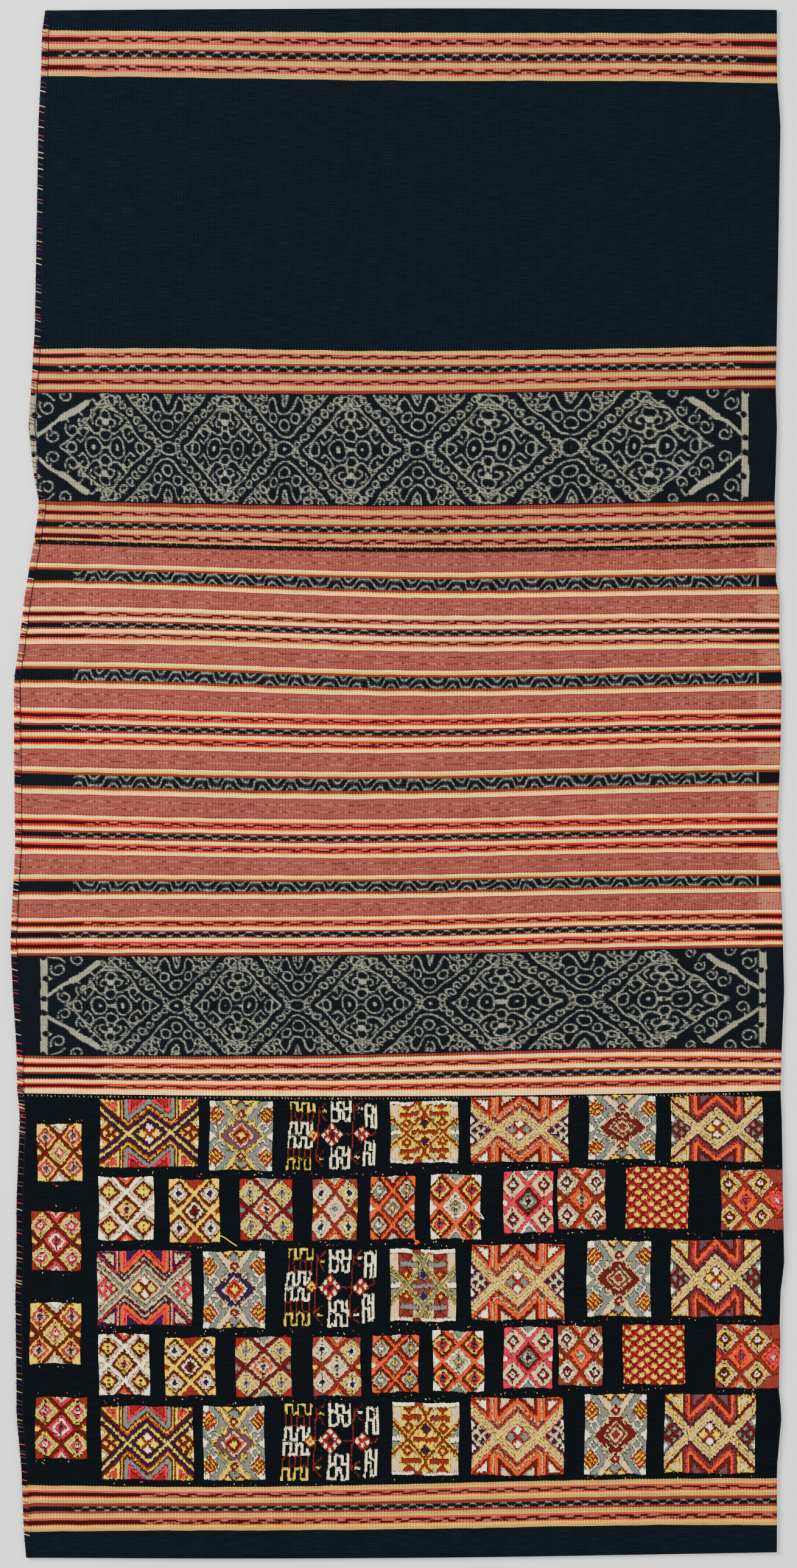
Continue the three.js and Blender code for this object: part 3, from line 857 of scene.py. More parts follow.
# Striped cottons: material, its stripes, their edges as rows of the photograph at the left end,
# the yarns on both sides, and the columns of the first and last broken dash and figure.
STRIPED = {
    "band_waist": ("straw_striped_cotton", STRAW_ORDER, (
        50, 57.5, 61.3, 68, 72.3, 80, 83.2, 93, 97, 104.7, 107.7, 114, 117.2, 125),
        "indigo", "indigo", (141, 1200, 97, 1222)),
    "band_over_ikat": ("straw_striped_cotton_over_ikat", (*STRAW_ORDER, "brick"), (
        573.3, 579.8, 582, 587, 589.2, 597, 601, 610.5, 614.3, 621.5, 624.8, 629.7, 632, 639,
        644), "indigo", "ikat", (141, 1191, 97, 1215)),
    "band_under_ikat": ("straw_striped_cotton_under_ikat", ("brick", *STRAW_ORDER), (
        823, 829.7, 836.5, 839, 843.5, 846, 852.7, 856.5, 864.5, 867.8, 873.8, 876, 881.6,
        883.6, 888.7), "ikat", "straw", (165, 1205, 97, 1230)),
    "band_waves": ("wave_striped_cotton", WAVE_ORDER, (
        1087, 1090.5, 1094, 1098, 1116.4, 1121, 1123.3, 1128.5),
        "pink", "pink", (141, 1210, 122, 1236)),
    "band_rose": ("rose_striped_cotton", ROSE_ORDER, (
        996, 1001, 1003, 1005.5, 1010, 1012.5, 1014, 1018.6, 1022.6, 1030, 1033, 1038, 1040,
        1042, 1046.7, 1050, 1052.5, 1057.5), "pink", "pink", (141, 1209, 103, 1238)),
    "band_red": ("red_striped_cotton", CREAM_ORDER, (
        1337, 1341, 1343.3, 1346.7, 1351, 1355.2, 1357, 1361.2, 1365, 1372.6, 1377, 1381, 1383.2,
        1387.3, 1392.2, 1395.3, 1397.3, 1402.5), "pink", "pink", (141, 1209, 103, 1238)),
    "band_last": ("red_striped_cotton_over_ikat", (*CREAM_ORDER, "brick"), (
        1508.5, 1511.7, 1513.7, 1516.5, 1521, 1524, 1526, 1529.5, 1532.3, 1540, 1542.2, 1546,
        1548, 1552, 1556.7, 1559.5, 1561.5, 1565.3, 1569.7),
        "pink", "ikat", (138, 1240, 100, 1238)),
    "band_edge": ("red_striped_cotton_under_ikat", ("brick", *CREAM_ORDER), (
        1734.5, 1739, 1743.5, 1745, 1748, 1751.7, 1753.7, 1755.7, 1760, 1763.2, 1770.5, 1772.6,
        1776.6, 1778.2, 1781, 1784.2, 1786.6, 1788, 1793.7),
        "ikat", "cream", (172, 1330, 156, 1330)),
    "band_hem": ("hem_striped_cotton", HEM_ORDER, (
        2440, 2445.3, 2448, 2452, 2457.3, 2460.3, 2464, 2469, 2475, 2483, 2487, 2492.3, 2494.7,
        2499, 2505, 2507.6, 2512, 2516.7), "night", "indigo", (232, 1330, 121, 1330)),
}
PLAIN = {"indigo": "indigo_dyed_cotton", "night": "night_indigo_cotton",
         "ikat": "warp_ikat_cotton", "pink": "pink_speckled_cotton"}


def cotton_materials(groups, sizes, colours):
    """The woven cottons that a panel's groups name; one that is there already is taken."""
    made = {}
    for _, finish in groups:
        name = STRIPED[finish][0] if finish in STRIPED else PLAIN[finish]
        material = bpy.data.materials.get(name)
        if material is None and finish in STRIPED:
            material = banded_cotton(*STRIPED[finish], colours, sizes, finish == "band_waves")
        elif material is None and finish == "ikat":
            material = ikat_cotton(name, colours, sizes)
        elif material is None and finish == "pink":
            material = speckled_cotton(name, colours, sizes)
        elif material is None:
            material = plain_cotton(name, getattr(colours, finish), sizes)
        made[finish] = material
    return made


def half_gap(context):
    """Half the space between two panels, in mm."""
    return context.scene.skirt_sizes.seam_gap / MM / 2


class SKIRT_OT_waist_panel(bpy.types.Operator):
    """Make the upper panel: plain indigo, three stripe bands and the first ikat band"""

    bl_idname = "skirt.waist_panel"
    bl_label = "Waist Panel"

    def execute(self, context):
        panel = make_panel(context, "waist_panel", "panel_waist", WAIST_GROUPS,
                           WAIST_EDGE, UPPER_JOIN - half_gap(context), (200, 496))
        return {"FINISHED"}


class SKIRT_OT_middle_panel(bpy.types.Operator):
    """Make the middle panel: pink zones between stripe bands, and the second ikat band"""

    bl_idname = "skirt.middle_panel"
    bl_label = "Middle Panel"

    def execute(self, context):
        gap = half_gap(context)
        panel = make_panel(context, "middle_panel", "panel_middle", MIDDLE_GROUPS,
                           UPPER_JOIN + gap, LOWER_JOIN - gap, (180, 496))
        return {"FINISHED"}


class SKIRT_OT_hem_panel(bpy.types.Operator):
    """Make the lower panel: near-black ground for the patches, and the stripe band of the hem"""

    bl_idname = "skirt.hem_panel"
    bl_label = "Hem Panel"

    def execute(self, context):
        panel = make_panel(context, "hem_panel", "panel_hem", HEM_GROUPS,
                           LOWER_JOIN + half_gap(context), HEM_EDGE, (60, 160))
        return {"FINISHED"}


def paint(cells, where, yarn):
    """Gives a yarn to the cells of a mask."""
    cells[where] = YARNS.index(yarn)


def rings(cells, where, depth, yarns, ends):
    """Paints nested rings: cells whose depth lies under each end take that ring's yarn."""
    for end, yarn in zip(ends[::-1], yarns[::-1]):
        paint(cells, where & (depth < end), yarn)


def diamond(x, y, wide, high):
    """Depth in a diamond about nought: 1 on its edge, from its two half widths."""
    return np.abs(x) / wide + np.abs(y) / high


def diamonds_chart(x, y, yarns):
    """A lattice of crossed arms with nested diamonds: one in the middle, one in each corner.

    The lattice's diamonds have their centres at whole steps of the two sides. The distance to a
    centre is the sum of both distances in steps, and an arm lies where all of them are over 0.85.
    """
    x = x * yarns["stretch"] + yarns["shift"]
    side, rise = np.abs(x) / 0.62, np.abs(y) / 0.545
    cells = np.full(x.shape, YARNS.index(yarns["ground"]))
    middle = (side + rise) / 0.85
    corner = (np.abs(side - 1) + np.abs(rise - 1)) / 0.85
    wedge = (side + np.abs(rise - 2)) / 0.85
    flank = (np.abs(side - 2) + rise) / 0.85
    paint(cells, np.minimum.reduce([middle, corner, wedge, flank]) > 1, yarns["arm"])
    rings(cells, wedge < 1, wedge, yarns["wedge"][::-1], (0.4, 0.7, 1.0))
    rings(cells, middle < 1, middle, yarns["middle"][::-1], (0.24, 0.46, 0.72, 1.0))
    for number, nested in enumerate(yarns["corners"]):
        half = (corner < 1) & ((x > 0) == number)
        rings(cells, half, corner, nested[::-1], (0.26, 0.5, 0.74, 1.0))
    paint(cells, (side > 1) & (rise > 1) & (corner > 0.9), yarns["ground"])
    paint(cells, flank < 1, yarns["flank"] or yarns["ground"])
    if yarns["beyond"]:
        rings(cells, flank < 1, flank, yarns["beyond"][::-1], (0.24, 0.46, 0.72, 1.0))
    else:
        paint(cells, (np.abs(y) < 0.09) & (flank < 0.9), yarns["dash"])
    axis = (np.minimum(np.abs(side - 1), side) < 0.05) & (np.sin(y * 46) > 0.45)
    paint(cells, axis & (np.minimum(middle, corner) < 1), "ground")
    return cells


def crossing_chart(x, y, yarns):
    """Two zigzag arms that cross twice and frame a diamond, with zigzags above and below.

    An arm's height falls straight from 0.5 in the middle to 0 at 0.43, and climbs again to the
    sides. Everything else is painted by its distance over or under the arm.
    """
    side, rise = np.abs(x), np.abs(y)
    arm = np.where(side < 0.43, 0.5 * (1 - side / 0.43), 1.23 * (side - 0.43))
    over = rise - arm
    cells = np.full(x.shape, YARNS.index(yarns["field"]))
    nested = np.minimum(over, 0.24 + (0.58 - side) * 1.9)
    rings(cells, (over > 0) & (side < 0.58), nested, yarns["zigzag"],
          (0.2, 0.25, 0.31, 0.37, 0.52, 0.64, 3.0))
    corner = np.minimum.reduce([over, 0.2 + (side - 0.58) * 1.9, 0.22 + (1 - rise) * 1.5,
                                0.24 + (1 - side) * 2.0])
    rings(cells, (over > 0) & (side >= 0.58), corner, yarns["corner"], (0.26, 0.34, 0.45, 3.0))
    lattice = (over < 0) & (side > 0.43)
    paint(cells, lattice, yarns["side"])
    for px, py in ((0.78, 0.13), (0.9, 0.0), (0.66, 0.0), (0.78, -0.13)):
        paint(cells, lattice & (diamond(side - px, y - py, 0.065, 0.09) < 1), yarns["spot"])
    edge = (1 - side) + np.abs(rise - 0.3) * 0.8
    rings(cells, lattice & (over < -0.16), edge, ("white", yarns["spot"]), (0.1, 0.17))
    for px, py, yarn in ((0.15, 0, yarns["square"]), (0, 0.2, "white")):
        square = diamond(side - px, rise - py, 0.11, 0.15) < 1
        paint(cells, square & (over < 0) & (side < 0.43), yarn)
    rings(cells, np.abs(over) < 0.2, np.abs(over),
          (yarns["core"], yarns["arm"], yarns["outline"]), (0.05, 0.15, 0.2))
    return cells


def hooks_chart(x, y, yarns):
    """A nested diamond on a broad one with hooks, striped corner squares and edge triangles."""
    side, rise, line = np.abs(x), np.abs(y), yarns["line"]
    cells = np.full(x.shape, YARNS.index("grey"))
    broad = side / 0.72 + rise / 0.62
    paint(cells, broad < 1.06, line)
    paint(cells, broad < 0.94, yarns["field"])
    hook = diamond(side - 0.36, rise - 0.33, 0.17, 0.15)
    paint(cells, (hook < 1) & (hook > 0.6) & (side - 0.36 < rise - 0.3), line)
    paint(cells, hook < 0.4, line)
    spiral = diamond(side - 0.68, rise - 0.24, 0.2, 0.18)
    paint(cells, (spiral < 1) & (spiral > 0.62), "white")
    middle = side / 0.42 + rise / 0.36
    rings(cells, middle < 1, middle, yarns["middle"][::-1], (0.36, 0.6, 0.82, 1.0))
    arms = np.abs(rise - 0.43 - side * 1.15)
    paint(cells, (arms < 0.15) & (rise > 0.43), "cream")
    paint(cells, (arms < 0.085) & (rise > 0.43), line)
    small = diamond(side, rise - 0.6, 0.17, 0.14)
    rings(cells, small < 1.3, small, ("white", "red", "maroon", line), (0.35, 0.8, 1.0, 1.3))
    hang = (1 - rise) / 0.17 + np.abs(side - 0.2) / 0.2
    rings(cells, hang < 1.15, hang, ("yellow", "maroon"), (0.85, 1.15))
    square = diamond(side - 0.8, rise - 0.6, 0.29, 0.27)
    paint(cells, square < 1.0, "red")
    paint(cells, (square < 0.85) & (np.sin((side + rise * 1.1) * 40) > 0.1), "yellow")
    paint(cells, (square > 1.0) & (square < 1.2) & (side > 0.5), "white")
    paint(cells, (side > 0.8) & (rise > 0.84), "white")
    paint(cells, (1 - side) / 0.22 + rise / 0.16 < 1, "white")
    return cells


def bars_chart(x, y, yarns):
    """Curved arms that cross at both sides, bars between them and small diamonds."""
    side, rise, bar = np.abs(x), np.abs(y), yarns["bar"]
    cells = np.full(x.shape, YARNS.index(yarns["field"]))
    paint(cells, (side > 0.74) | ((side > 0.2) & (side < 0.32) & (rise > 0.15)), "cream")
    arm = np.where(side < 0.52, 0.54 * (1 - (side / 0.52) ** 1.15), 0.95 * (side - 0.52))
    over = np.abs(rise - arm)
    split = np.where(rise > 0.66, np.abs(side - (rise - 0.66) * 0.8), side)
    over = np.where(rise > 0.52, np.minimum(over, split), over)
    mids = (side > 0.72) & (rise < arm)
    paint(cells, mids, "grey")
    paint(cells, mids & (rise < 0.07), "white")
    small = diamond(side - 0.52, rise - 0.31, 0.18, 0.18)
    rings(cells, small < 1, small, ("yellow", "brick"), (0.4, 1.0))
    rings(cells, over < 0.12, over, (bar, "yellow"), (0.05, 0.12))
    small = diamond(side, rise - 0.29, 0.15, 0.16)
    rings(cells, small < 1.1, small, ("purple", bar), (0.75, 1.1))
    paint(cells, (rise < 0.07) & (side < 0.37), bar)
    paint(cells, (np.abs(rise - 0.59) < 0.075) & (side > 0.14) & (side < 0.7), bar)
    hang = (0.88 - rise) / 0.2 + np.abs(side - 0.5) / 0.2
    paint(cells, (hang < 1) & (rise < 0.88), "brick")
    paint(cells, rise > 0.89, "white")
    paint(cells, (rise > 0.89) & (np.abs(x + 0.2) < 0.12), "brick")
    return cells


def dots_chart(x, y, yarns):
    """Dots in offset rows on a ground, with diagonals between them."""
    a, b = x * 2.4, y * 2.8
    one = np.hypot((a + 0.5) % 1 - 0.5, (b + 0.5) % 1 - 0.5)
    two = np.hypot(a % 1 - 0.5, b % 1 - 0.5)
    cells = np.full(x.shape, YARNS.index(yarns["field"]))
    diagonal = np.minimum(np.abs((a + b) % 1 - 0.5), np.abs((a - b) % 1 - 0.5))
    paint(cells, diagonal < 0.07, yarns["line"])
    paint(cells, np.minimum(one, two) < 0.24, yarns["dot"])
    return cells


# Strokes of the open line figures: yarn, half width, and points in eighths of a pixel from the
# block's upper left corner. Then its diamonds, and the middles of its small white ones.
FIGURE_SIZE = (1395.0, 1120.0)
FIGURE_MARGIN = (80, 120)
FIGURE_STROKES = (
    ("yellow", 15, (
        (150, 250, 150, 130, 240, 130, 240, 250, 310, 250, 320, 135, 405, 135, 405, 255, 480, 255,
         490, 140),
        (100, 1100, 110, 950, 200, 950, 190, 1085, 270, 1085, 275, 950, 360, 950, 350, 1090,
         435, 1090, 435, 950),
        (610, 265, 650, 265), (570, 950, 615, 950))),
    ("brick", 10, (
        (145, 240, 145, 420),
        (215, 265, 225, 400, 300, 405, 305, 285, 385, 285, 390, 410, 460, 410, 470, 270),
        (105, 930, 120, 800, 195, 790, 200, 920, 270, 920, 280, 790, 355, 790, 360, 920, 440, 920,
         440, 790),
        (555, 200, 540, 600, 515, 960), (555, 235, 670, 150), (560, 250, 650, 390),
        (515, 930, 635, 825), (520, 950, 625, 1070), (890, 605, 1040, 600),
        (1065, 200, 1040, 600, 1025, 970), (1065, 240, 1180, 140), (1075, 260, 1175, 340),
        (1035, 940, 1150, 850), (1045, 970, 1150, 1050), (1250, 600, 1340, 600, 1370, 550))),
    ("white", 18, (
        (125, 590, 140, 430, 220, 430, 215, 580, 290, 580, 300, 430, 390, 430, 380, 580, 440, 530,
         455, 430),
        (110, 770, 110, 630, 210, 630, 200, 770, 285, 770, 295, 640, 370, 640, 360, 770, 450, 770,
         440, 700),
        (740, 130, 745, 220, 830, 240, 830, 150, 920, 150, 920, 240, 1010, 230, 1010, 130),
        (740, 220, 735, 410, 840, 400, 850, 260, 900, 270, 920, 400, 990, 400, 1010, 240),
        (735, 790, 740, 900, 810, 910, 820, 790, 910, 790, 910, 900, 990, 900, 980, 780),
        (730, 930, 720, 1090, 820, 1090, 830, 950, 890, 960, 905, 1100, 985, 1080, 990, 920),
        (1135, 235, 1170, 235), (1095, 945, 1140, 945),
        (1230, 480, 1240, 190, 1290, 170, 1330, 190, 1330, 290, 1380, 280, 1385, 160),
        (1240, 330, 1320, 330, 1310, 490, 1370, 490, 1380, 290),
        (1215, 1050, 1225, 720, 1290, 715, 1290, 820, 1350, 820, 1350, 710),
        (1225, 880, 1290, 870, 1295, 1030, 1350, 1020, 1350, 830))),
    ("grey", 12, ((130, 605, 290, 605),)),
)
FIGURE_DIAMONDS = (
    (475, 605, 95, 95, ("pink", "yellow", "brick")),
    (740, 605, 165, 185, ("purple", "red", "red")),
    (1175, 605, 135, 125, ("red", "red", "red")),
)
FIGURE_SPOTS = (
    (740, 490), (740, 730), (620, 605), (855, 605), (675, 548), (805, 548), (675, 670),
    (805, 670), (1100, 605), (1240, 600), (1170, 540), (1170, 655),
)


def figures_chart(x, y, yarns):
    """Open line figures: strokes of yarn on bare ground, and three small diamonds."""
    across, down = ((way + 1) / 2 * (size - margin) + margin for way, size, margin in zip(
        (x, -y), FIGURE_SIZE, FIGURE_MARGIN))
    cells = np.full(x.shape, -1)
    for yarn, half, strokes in FIGURE_STROKES:
        paint(cells, reach_of(across, down, strokes, half) < 0, yarn)
    for px, py, wide, high, nested in FIGURE_DIAMONDS:
        depth = diamond(across - px, down - py, wide, high)
        rings(cells, depth < 1, depth, nested, (0.25, 0.72, 1.0))
    for px, py in FIGURE_SPOTS:
        paint(cells, diamond(across - px, down - py, 34, 42) < 1, yarns["spot"])
    return cells


def diamonds(ground, arm, dash, wedge, middle, corner, right=None, flank=None, beyond=None,
             stretch=1.0, shift=0.0):
    """A diamonds chart with its yarns, nested diamonds named from the outside in."""
    return diamonds_chart, {
        "ground": ground, "arm": arm, "dash": dash, "wedge": wedge.split(),
        "middle": middle.split(), "corners": (corner.split(), (right or corner).split()),
        "flank": flank, "beyond": beyond and beyond.split(), "stretch": stretch, "shift": shift}


def crossing(field, square, core, arm, outline, side, spot, zigzag, corner):
    """A crossing chart with its yarns, the nested ones named from the arm outwards."""
    return crossing_chart, {
        "field": field, "square": square, "core": core, "arm": arm, "outline": outline,
        "side": side, "spot": spot, "zigzag": zigzag.split(), "corner": corner.split()}


def hooks(line, field, middle):
    """A hooks chart with its yarns, the middle diamond's from the outside in."""
    return hooks_chart, {"line": line, "field": field, "middle": middle.split()}


CHARTS = {
    "white": diamonds("white", "white", "cream", "maroon orange white",
                      "maroon yellow cream red", "cream maroon yellow yellow"),
    "yellow": diamonds("yellow", "yellow", "brick", "brick brick brick",
                       "maroon white maroon maroon", "maroon cream white purple"),
    "red": diamonds("red", "maroon", "grey", "cream grey grey", "cream orange white mauve",
                    "cream yellow cream grey"),
    "rose": diamonds("rust", "brick", "yellow", "orange cream grey", "cream cream white grey",
                     "cream cream white purple", "cream yellow white purple"),
    "orange": diamonds("orange", "orange", "white", "maroon cream white",
                       "brick cream grey yellow", "maroon cream grey white",
                       "maroon cream grey yellow"),
    "mauve": diamonds("white", "orange", "white", "cream grey grey", "white cream grey yellow",
                      "maroon yellow pink mauve"),
    "pink": diamonds("pink", "pink", "white", "white grey grey", "maroon grey cream purple",
                     "cream cream maroon white"),
    "brick": diamonds("rust", "brick", "yellow", "orange cream grey", "orange orange cream grey",
                      "cream white maroon white"),
    "fold": diamonds("rust", "brick", "yellow", "orange cream grey", "orange orange pink mauve",
                     "cream yellow maroon white", beyond="orange pink pink cream",
                     stretch=1.21, shift=0.27),
    "edge_yellow": diamonds("yellow", "maroon", "yellow", "cream white white",
                            "yellow cream orange white", "yellow pink cream mauve",
                            flank="brick"),
    "edge_brick": diamonds("brick", "maroon", "yellow", "pink cream brick",
                           "pink white pink mauve", "yellow cream pink white"),
    "cross_purple": crossing("brick", "yellow", "yellow", "purple", "maroon", "maroon", "yellow",
                             "maroon orange yellow maroon grey pink red",
                             "maroon yellow pink orange"),
    "cross_violet": crossing("maroon", "yellow", "grey", "cream", "brick", "pink", "cream",
                             "pink purple cream purple orange pink purple",
                             "pink purple cream yellow"),
    "cross_orange": crossing("red", "grey", "yellow", "cream", "orange", "cream", "purple",
                             "cream mauve orange cream orange maroon cream",
                             "orange brick white white"),
    "cross_gold": crossing("brick", "yellow", "yellow", "cream", "maroon", "maroon", "grey",
                           "cream brick mauve pink orange maroon mauve",
                           "maroon yellow cream cream"),
    "hooks_mauve": hooks("yellow", "mauve", "white orange maroon yellow"),
    "hooks_plum": hooks("cream", "purple", "white orange red yellow"),
    "hooks_rust": hooks("cream", "maroon", "cream brick cream brick"),
    "bars_yellow": (bars_chart, {"field": "yellow", "bar": "brick"}),
    "bars_brick": (bars_chart, {"field": "rust", "bar": "grey"}),
    "dots": (dots_chart, {"field": "pink", "line": "red", "dot": "yellow"}),
    "figures": (figures_chart, {"spot": "white"}),
}

# Patches by row: the charts from left to right, and the columns and rows of the photograph that
# each of them fills.
CROSS_ROW = ("cross_purple", "hooks_mauve", "figures", "bars_yellow", "cross_orange",
             "hooks_rust", "cross_gold")
VIOLET_ROW = ("cross_violet", "hooks_plum", "figures", "bars_brick", *CROSS_ROW[4:])
DIAMOND_ROW = ("white", "yellow", "red", "rose", "orange", "mauve", "pink", "brick", "dots",
               "fold")
PATCH_ROWS = {
    "patches_row_1": (CROSS_ROW, (
        (164, 326, 1805, 1918), (344, 448, 1808, 1923), (470, 619, 1809, 1923),
        (641, 753, 1809, 1911), (773, 934, 1802, 1910), (967, 1077, 1799, 1905),
        (1102, 1253, 1800, 1909))),
    "patches_row_2": (DIAMOND_ROW, (
        (162, 253, 1933, 2038), (278, 361, 1937, 2042), (394, 481, 1936, 2038),
        (513, 587, 1936, 2038), (608, 682, 1932, 2036), (707, 790, 1929, 2036),
        (827, 909, 1923, 2026), (916, 995, 1919, 2020), (1028, 1131, 1917, 2019),
        (1184, 1286, 1921, 2021))),
    "patches_row_3": (VIOLET_ROW, (
        (160, 315, 2054, 2178), (334, 436, 2055, 2182), (466, 618, 2051, 2181),
        (641, 749, 2052, 2171), (774, 927, 2044, 2169), (964, 1069, 2038, 2163),
        (1102, 1250, 2036, 2163))),
    "patches_row_4": (DIAMOND_ROW, (
        (162, 246, 2191, 2292), (271, 354, 2197, 2293), (387, 479, 2196, 2295),
        (514, 593, 2196, 2294), (611, 688, 2193, 2288), (711, 795, 2186, 2287),
        (827, 908, 2180, 2281), (917, 990, 2178, 2277), (1023, 1125, 2176, 2275),
        (1176, 1281, 2176, 2281))),
    "patches_row_5": (CROSS_ROW, (
        (166, 318, 2310, 2432), (334, 435, 2310, 2432), (461, 622, 2305, 2434),
        (644, 754, 2304, 2424), (774, 926, 2296, 2424), (960, 1062, 2290, 2423),
        (1091, 1241, 2290, 2421))),
    "patches_edge_column": (("edge_yellow", "edge_brick") * 2, (
        (61, 135, 1846, 1941), (52, 133, 1990, 2088), (49, 133, 2140, 2241),
        (58, 143, 2295, 2397))),
}
FLOAT_STEP = 1.1         # mm of a float between two rows of its mesh
YARN_VALLEY = 0.72       # how light a float is on its shaded side
TURN_SHADE = 0.62        # how light a float is where its yarn changes
SUNK = 0.3               # mm by which a patch's rim goes under the cloth's face


def float_patch(name, box, sizes, colours, rng):
    """One woven patch: a closed pad of yarn floats that run down the cloth.

    The grid has two columns to a yarn, a crest and a valley. Its height is the patch's relief
    on a crest and six tenths of it in a valley; it dips where a yarn changes, and goes under
    the cloth's face along the rim and where the ground is bare. A fan closes it from below. A
    yarn is drawn a little wider than a real one, to show.
    """
    chart, yarns = CHARTS[name]
    x0, x1, y0, y1 = box
    wide, high = (x1 - x0) * PIXEL, (y1 - y0) * PIXEL
    yarn_count = int(round(wide * MM / sizes.float_yarn))
    columns, rows = 2 * yarn_count, int(round(high / FLOAT_STEP))
    cell_x = (np.arange(columns) // 2 + 0.5) / yarn_count * 2 - 1
    cell_y = 1 - (np.arange(rows) + 0.5) / rows * 2
    slip = np.repeat(rng.normal(0, 0.35, yarn_count), 2) / rows * 2
    grid_x, grid_y = np.meshgrid(cell_x, cell_y)
    cells = chart(grid_x, grid_y + slip, yarns)
    u, v = np.meshgrid(np.linspace(-1, 1, columns + 1), np.linspace(1, -1, rows + 1))
    turns = rng.uniform(0, 2 * np.pi, 4)
    x = ((x0 + x1) / 2 - PHOTO_MIDDLE) * PIXEL + u * wide / 2
    y = PANEL_TOP - ((y0 + y1) / 2 - PHOTO_TOP) * PIXEL + v * high / 2
    x = x + 0.5 * np.sin(v * 2.6 + turns[0]) * (0.4 + 0.6 * np.abs(u))
    y = y + 0.5 * np.sin(u * 3.1 + turns[1]) + 0.25 * np.sin(u * 9 + turns[2])
    ragged = np.repeat(rng.uniform(-0.45, 0.45, yarn_count + 1), 2)[:columns + 1]
    y[0] += ragged
    y[-1] -= ragged[::-1]
    relief = sizes.patch_relief / MM
    lift = np.where(np.arange(columns + 1) % 2 == 1, relief, relief * 0.6)
    height = np.repeat(lift[None, :], rows + 1, axis=0)
    bare = np.pad(cells < 0, 1, constant_values=True)
    around = np.stack([bare[1:, 1:], bare[:-1, 1:], bare[1:, :-1], bare[:-1, :-1]])
    changed = cells[1:] != cells[:-1]
    changes = np.zeros((rows + 1, columns + 1), dtype=bool)
    changes[1:-1, :-1] |= changed
    changes[1:-1, 1:] |= changed
    height = height - 0.22 * changes
    height = np.where(around.any(axis=0), height * 0.7, height)
    height[around.all(axis=0)] = -0.35
    height[[0, -1], :] = -SUNK
    height[:, [0, -1]] = -SUNK
    z = front_height(x, y, sizes) + height - fold_drop(x, y, sizes)
    points = np.stack([x, y, z], axis=-1).reshape(-1, 3)
    number = np.arange((rows + 1) * (columns + 1)).reshape(rows + 1, columns + 1)
    quads = np.stack([number[:-1, :-1], number[1:, :-1], number[1:, 1:], number[:-1, 1:]],
                     axis=-1).reshape(-1, 4)
    rim = np.concatenate([number[0, :-1], number[:-1, -1], number[-1, :0:-1],
                          number[:0:-1, 0]])
    points = np.concatenate([points, points[rim].mean(axis=0)[None, :]])
    fan = np.stack([rim, np.roll(rim, -1), np.full(len(rim), len(points) - 1)], axis=1)
    tones = np.array([getattr(colours, yarn) for yarn in YARNS])
    shade = np.repeat(rng.uniform(0.82, 1.12, (rows, yarn_count)), 2, axis=1)
    # Painted shade: the valley column of every yarn is darkened, as if one side of each float were
    # turned from the light
    shade[:, 1::2] *= YARN_VALLEY
    turned = np.zeros(cells.shape, dtype=bool)
    turned[1:] |= changed
    turned[:, 1:] |= cells[:, 1:] != cells[:, :-1]
    gaps = rng.uniform(size=cells.shape)
    # Painted shade where a yarn changes and its float dips; a third of these cells go near black,
    # for the dark ground and the shade in the gaps between floats
    shade = np.where(turned, shade * TURN_SHADE, shade)
    shade = np.where(turned & (gaps < 0.34), 0.05, shade)
    shade = np.where(gaps > 0.985, 0.1, shade)
    tone = tones[np.where(cells < 0, YARNS.index("ground"), cells)] * shade[..., None]
    return points, quads, fan, tone.reshape(-1, 3)


def joined_piece(name, parts, material, smooth):
    """Joins parts of points, quads, triangles and one colour to each quad into one object."""
    points, faces, tones = [], [], []
    count = 0
    for part_points, quads, triangles, colours in parts:
        points.append(part_points)
        faces.extend((quads + count).tolist())
        faces.extend((triangles + count).tolist())
        tones.append(np.repeat(colours, 4, axis=0))
        tones.append(np.tile(colours[:1], (3 * len(triangles), 1)))
        count += len(part_points)
    piece = add_mesh(name, np.concatenate(points), faces)
    mesh = piece.data
    tones = np.concatenate(tones)
    tones = np.concatenate([tones, np.ones((len(tones), 1))], axis=1)
    mesh.color_attributes.new("yarn", "FLOAT_COLOR", "CORNER").data.foreach_set(
        "color", tones.ravel())
    mesh.polygons.foreach_set("use_smooth", np.full(len(faces), smooth))
    mesh.materials.append(material)
    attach(piece, "root")
    return piece


class SKIRT_OT_patches(bpy.types.Operator):
    """Make the woven patches of the lower panel, one piece to a row"""

    bl_idname = "skirt.patches"
    bl_label = "Woven Patches"

    def execute(self, context):
        sizes, colours = context.scene.skirt_sizes, context.scene.patch_colours
        material = yarn_material("dyed_weft_yarn")
        for number, (name, patches) in enumerate(PATCH_ROWS.items()):
            rng = np.random.default_rng(40 + number)
            parts = [float_patch(*patch, sizes, colours, rng) for patch in zip(*patches)]
            piece = joined_piece(name, parts, material, smooth=False)
        return {"FINISHED"}


UPPER_SEAM = 438.8       # place of the overcast seam at the left end, in mm
BLACK_THREAD = np.array(linear("040305"))
END_YARNS = ("yellow", "cream", "white", "orange", "rust", "grey")
# Loose threads: yarn, half its width in mm, and its bends in pixels of the photograph.
LOOSE_THREADS = (
    ("yellow", 0.45, (354, 2040, 356, 2032, 362, 2030, 369, 2033, 377, 2039, 389, 2047)),
    ("white", 0.4, (786, 1990, 792, 1998, 795, 2003, 790, 2000, 783, 1996)),
    ("orange", 0.6, (680, 2035, 684, 2040, 681, 2044, 686, 2043, 685, 2037, 689, 2042)),
)


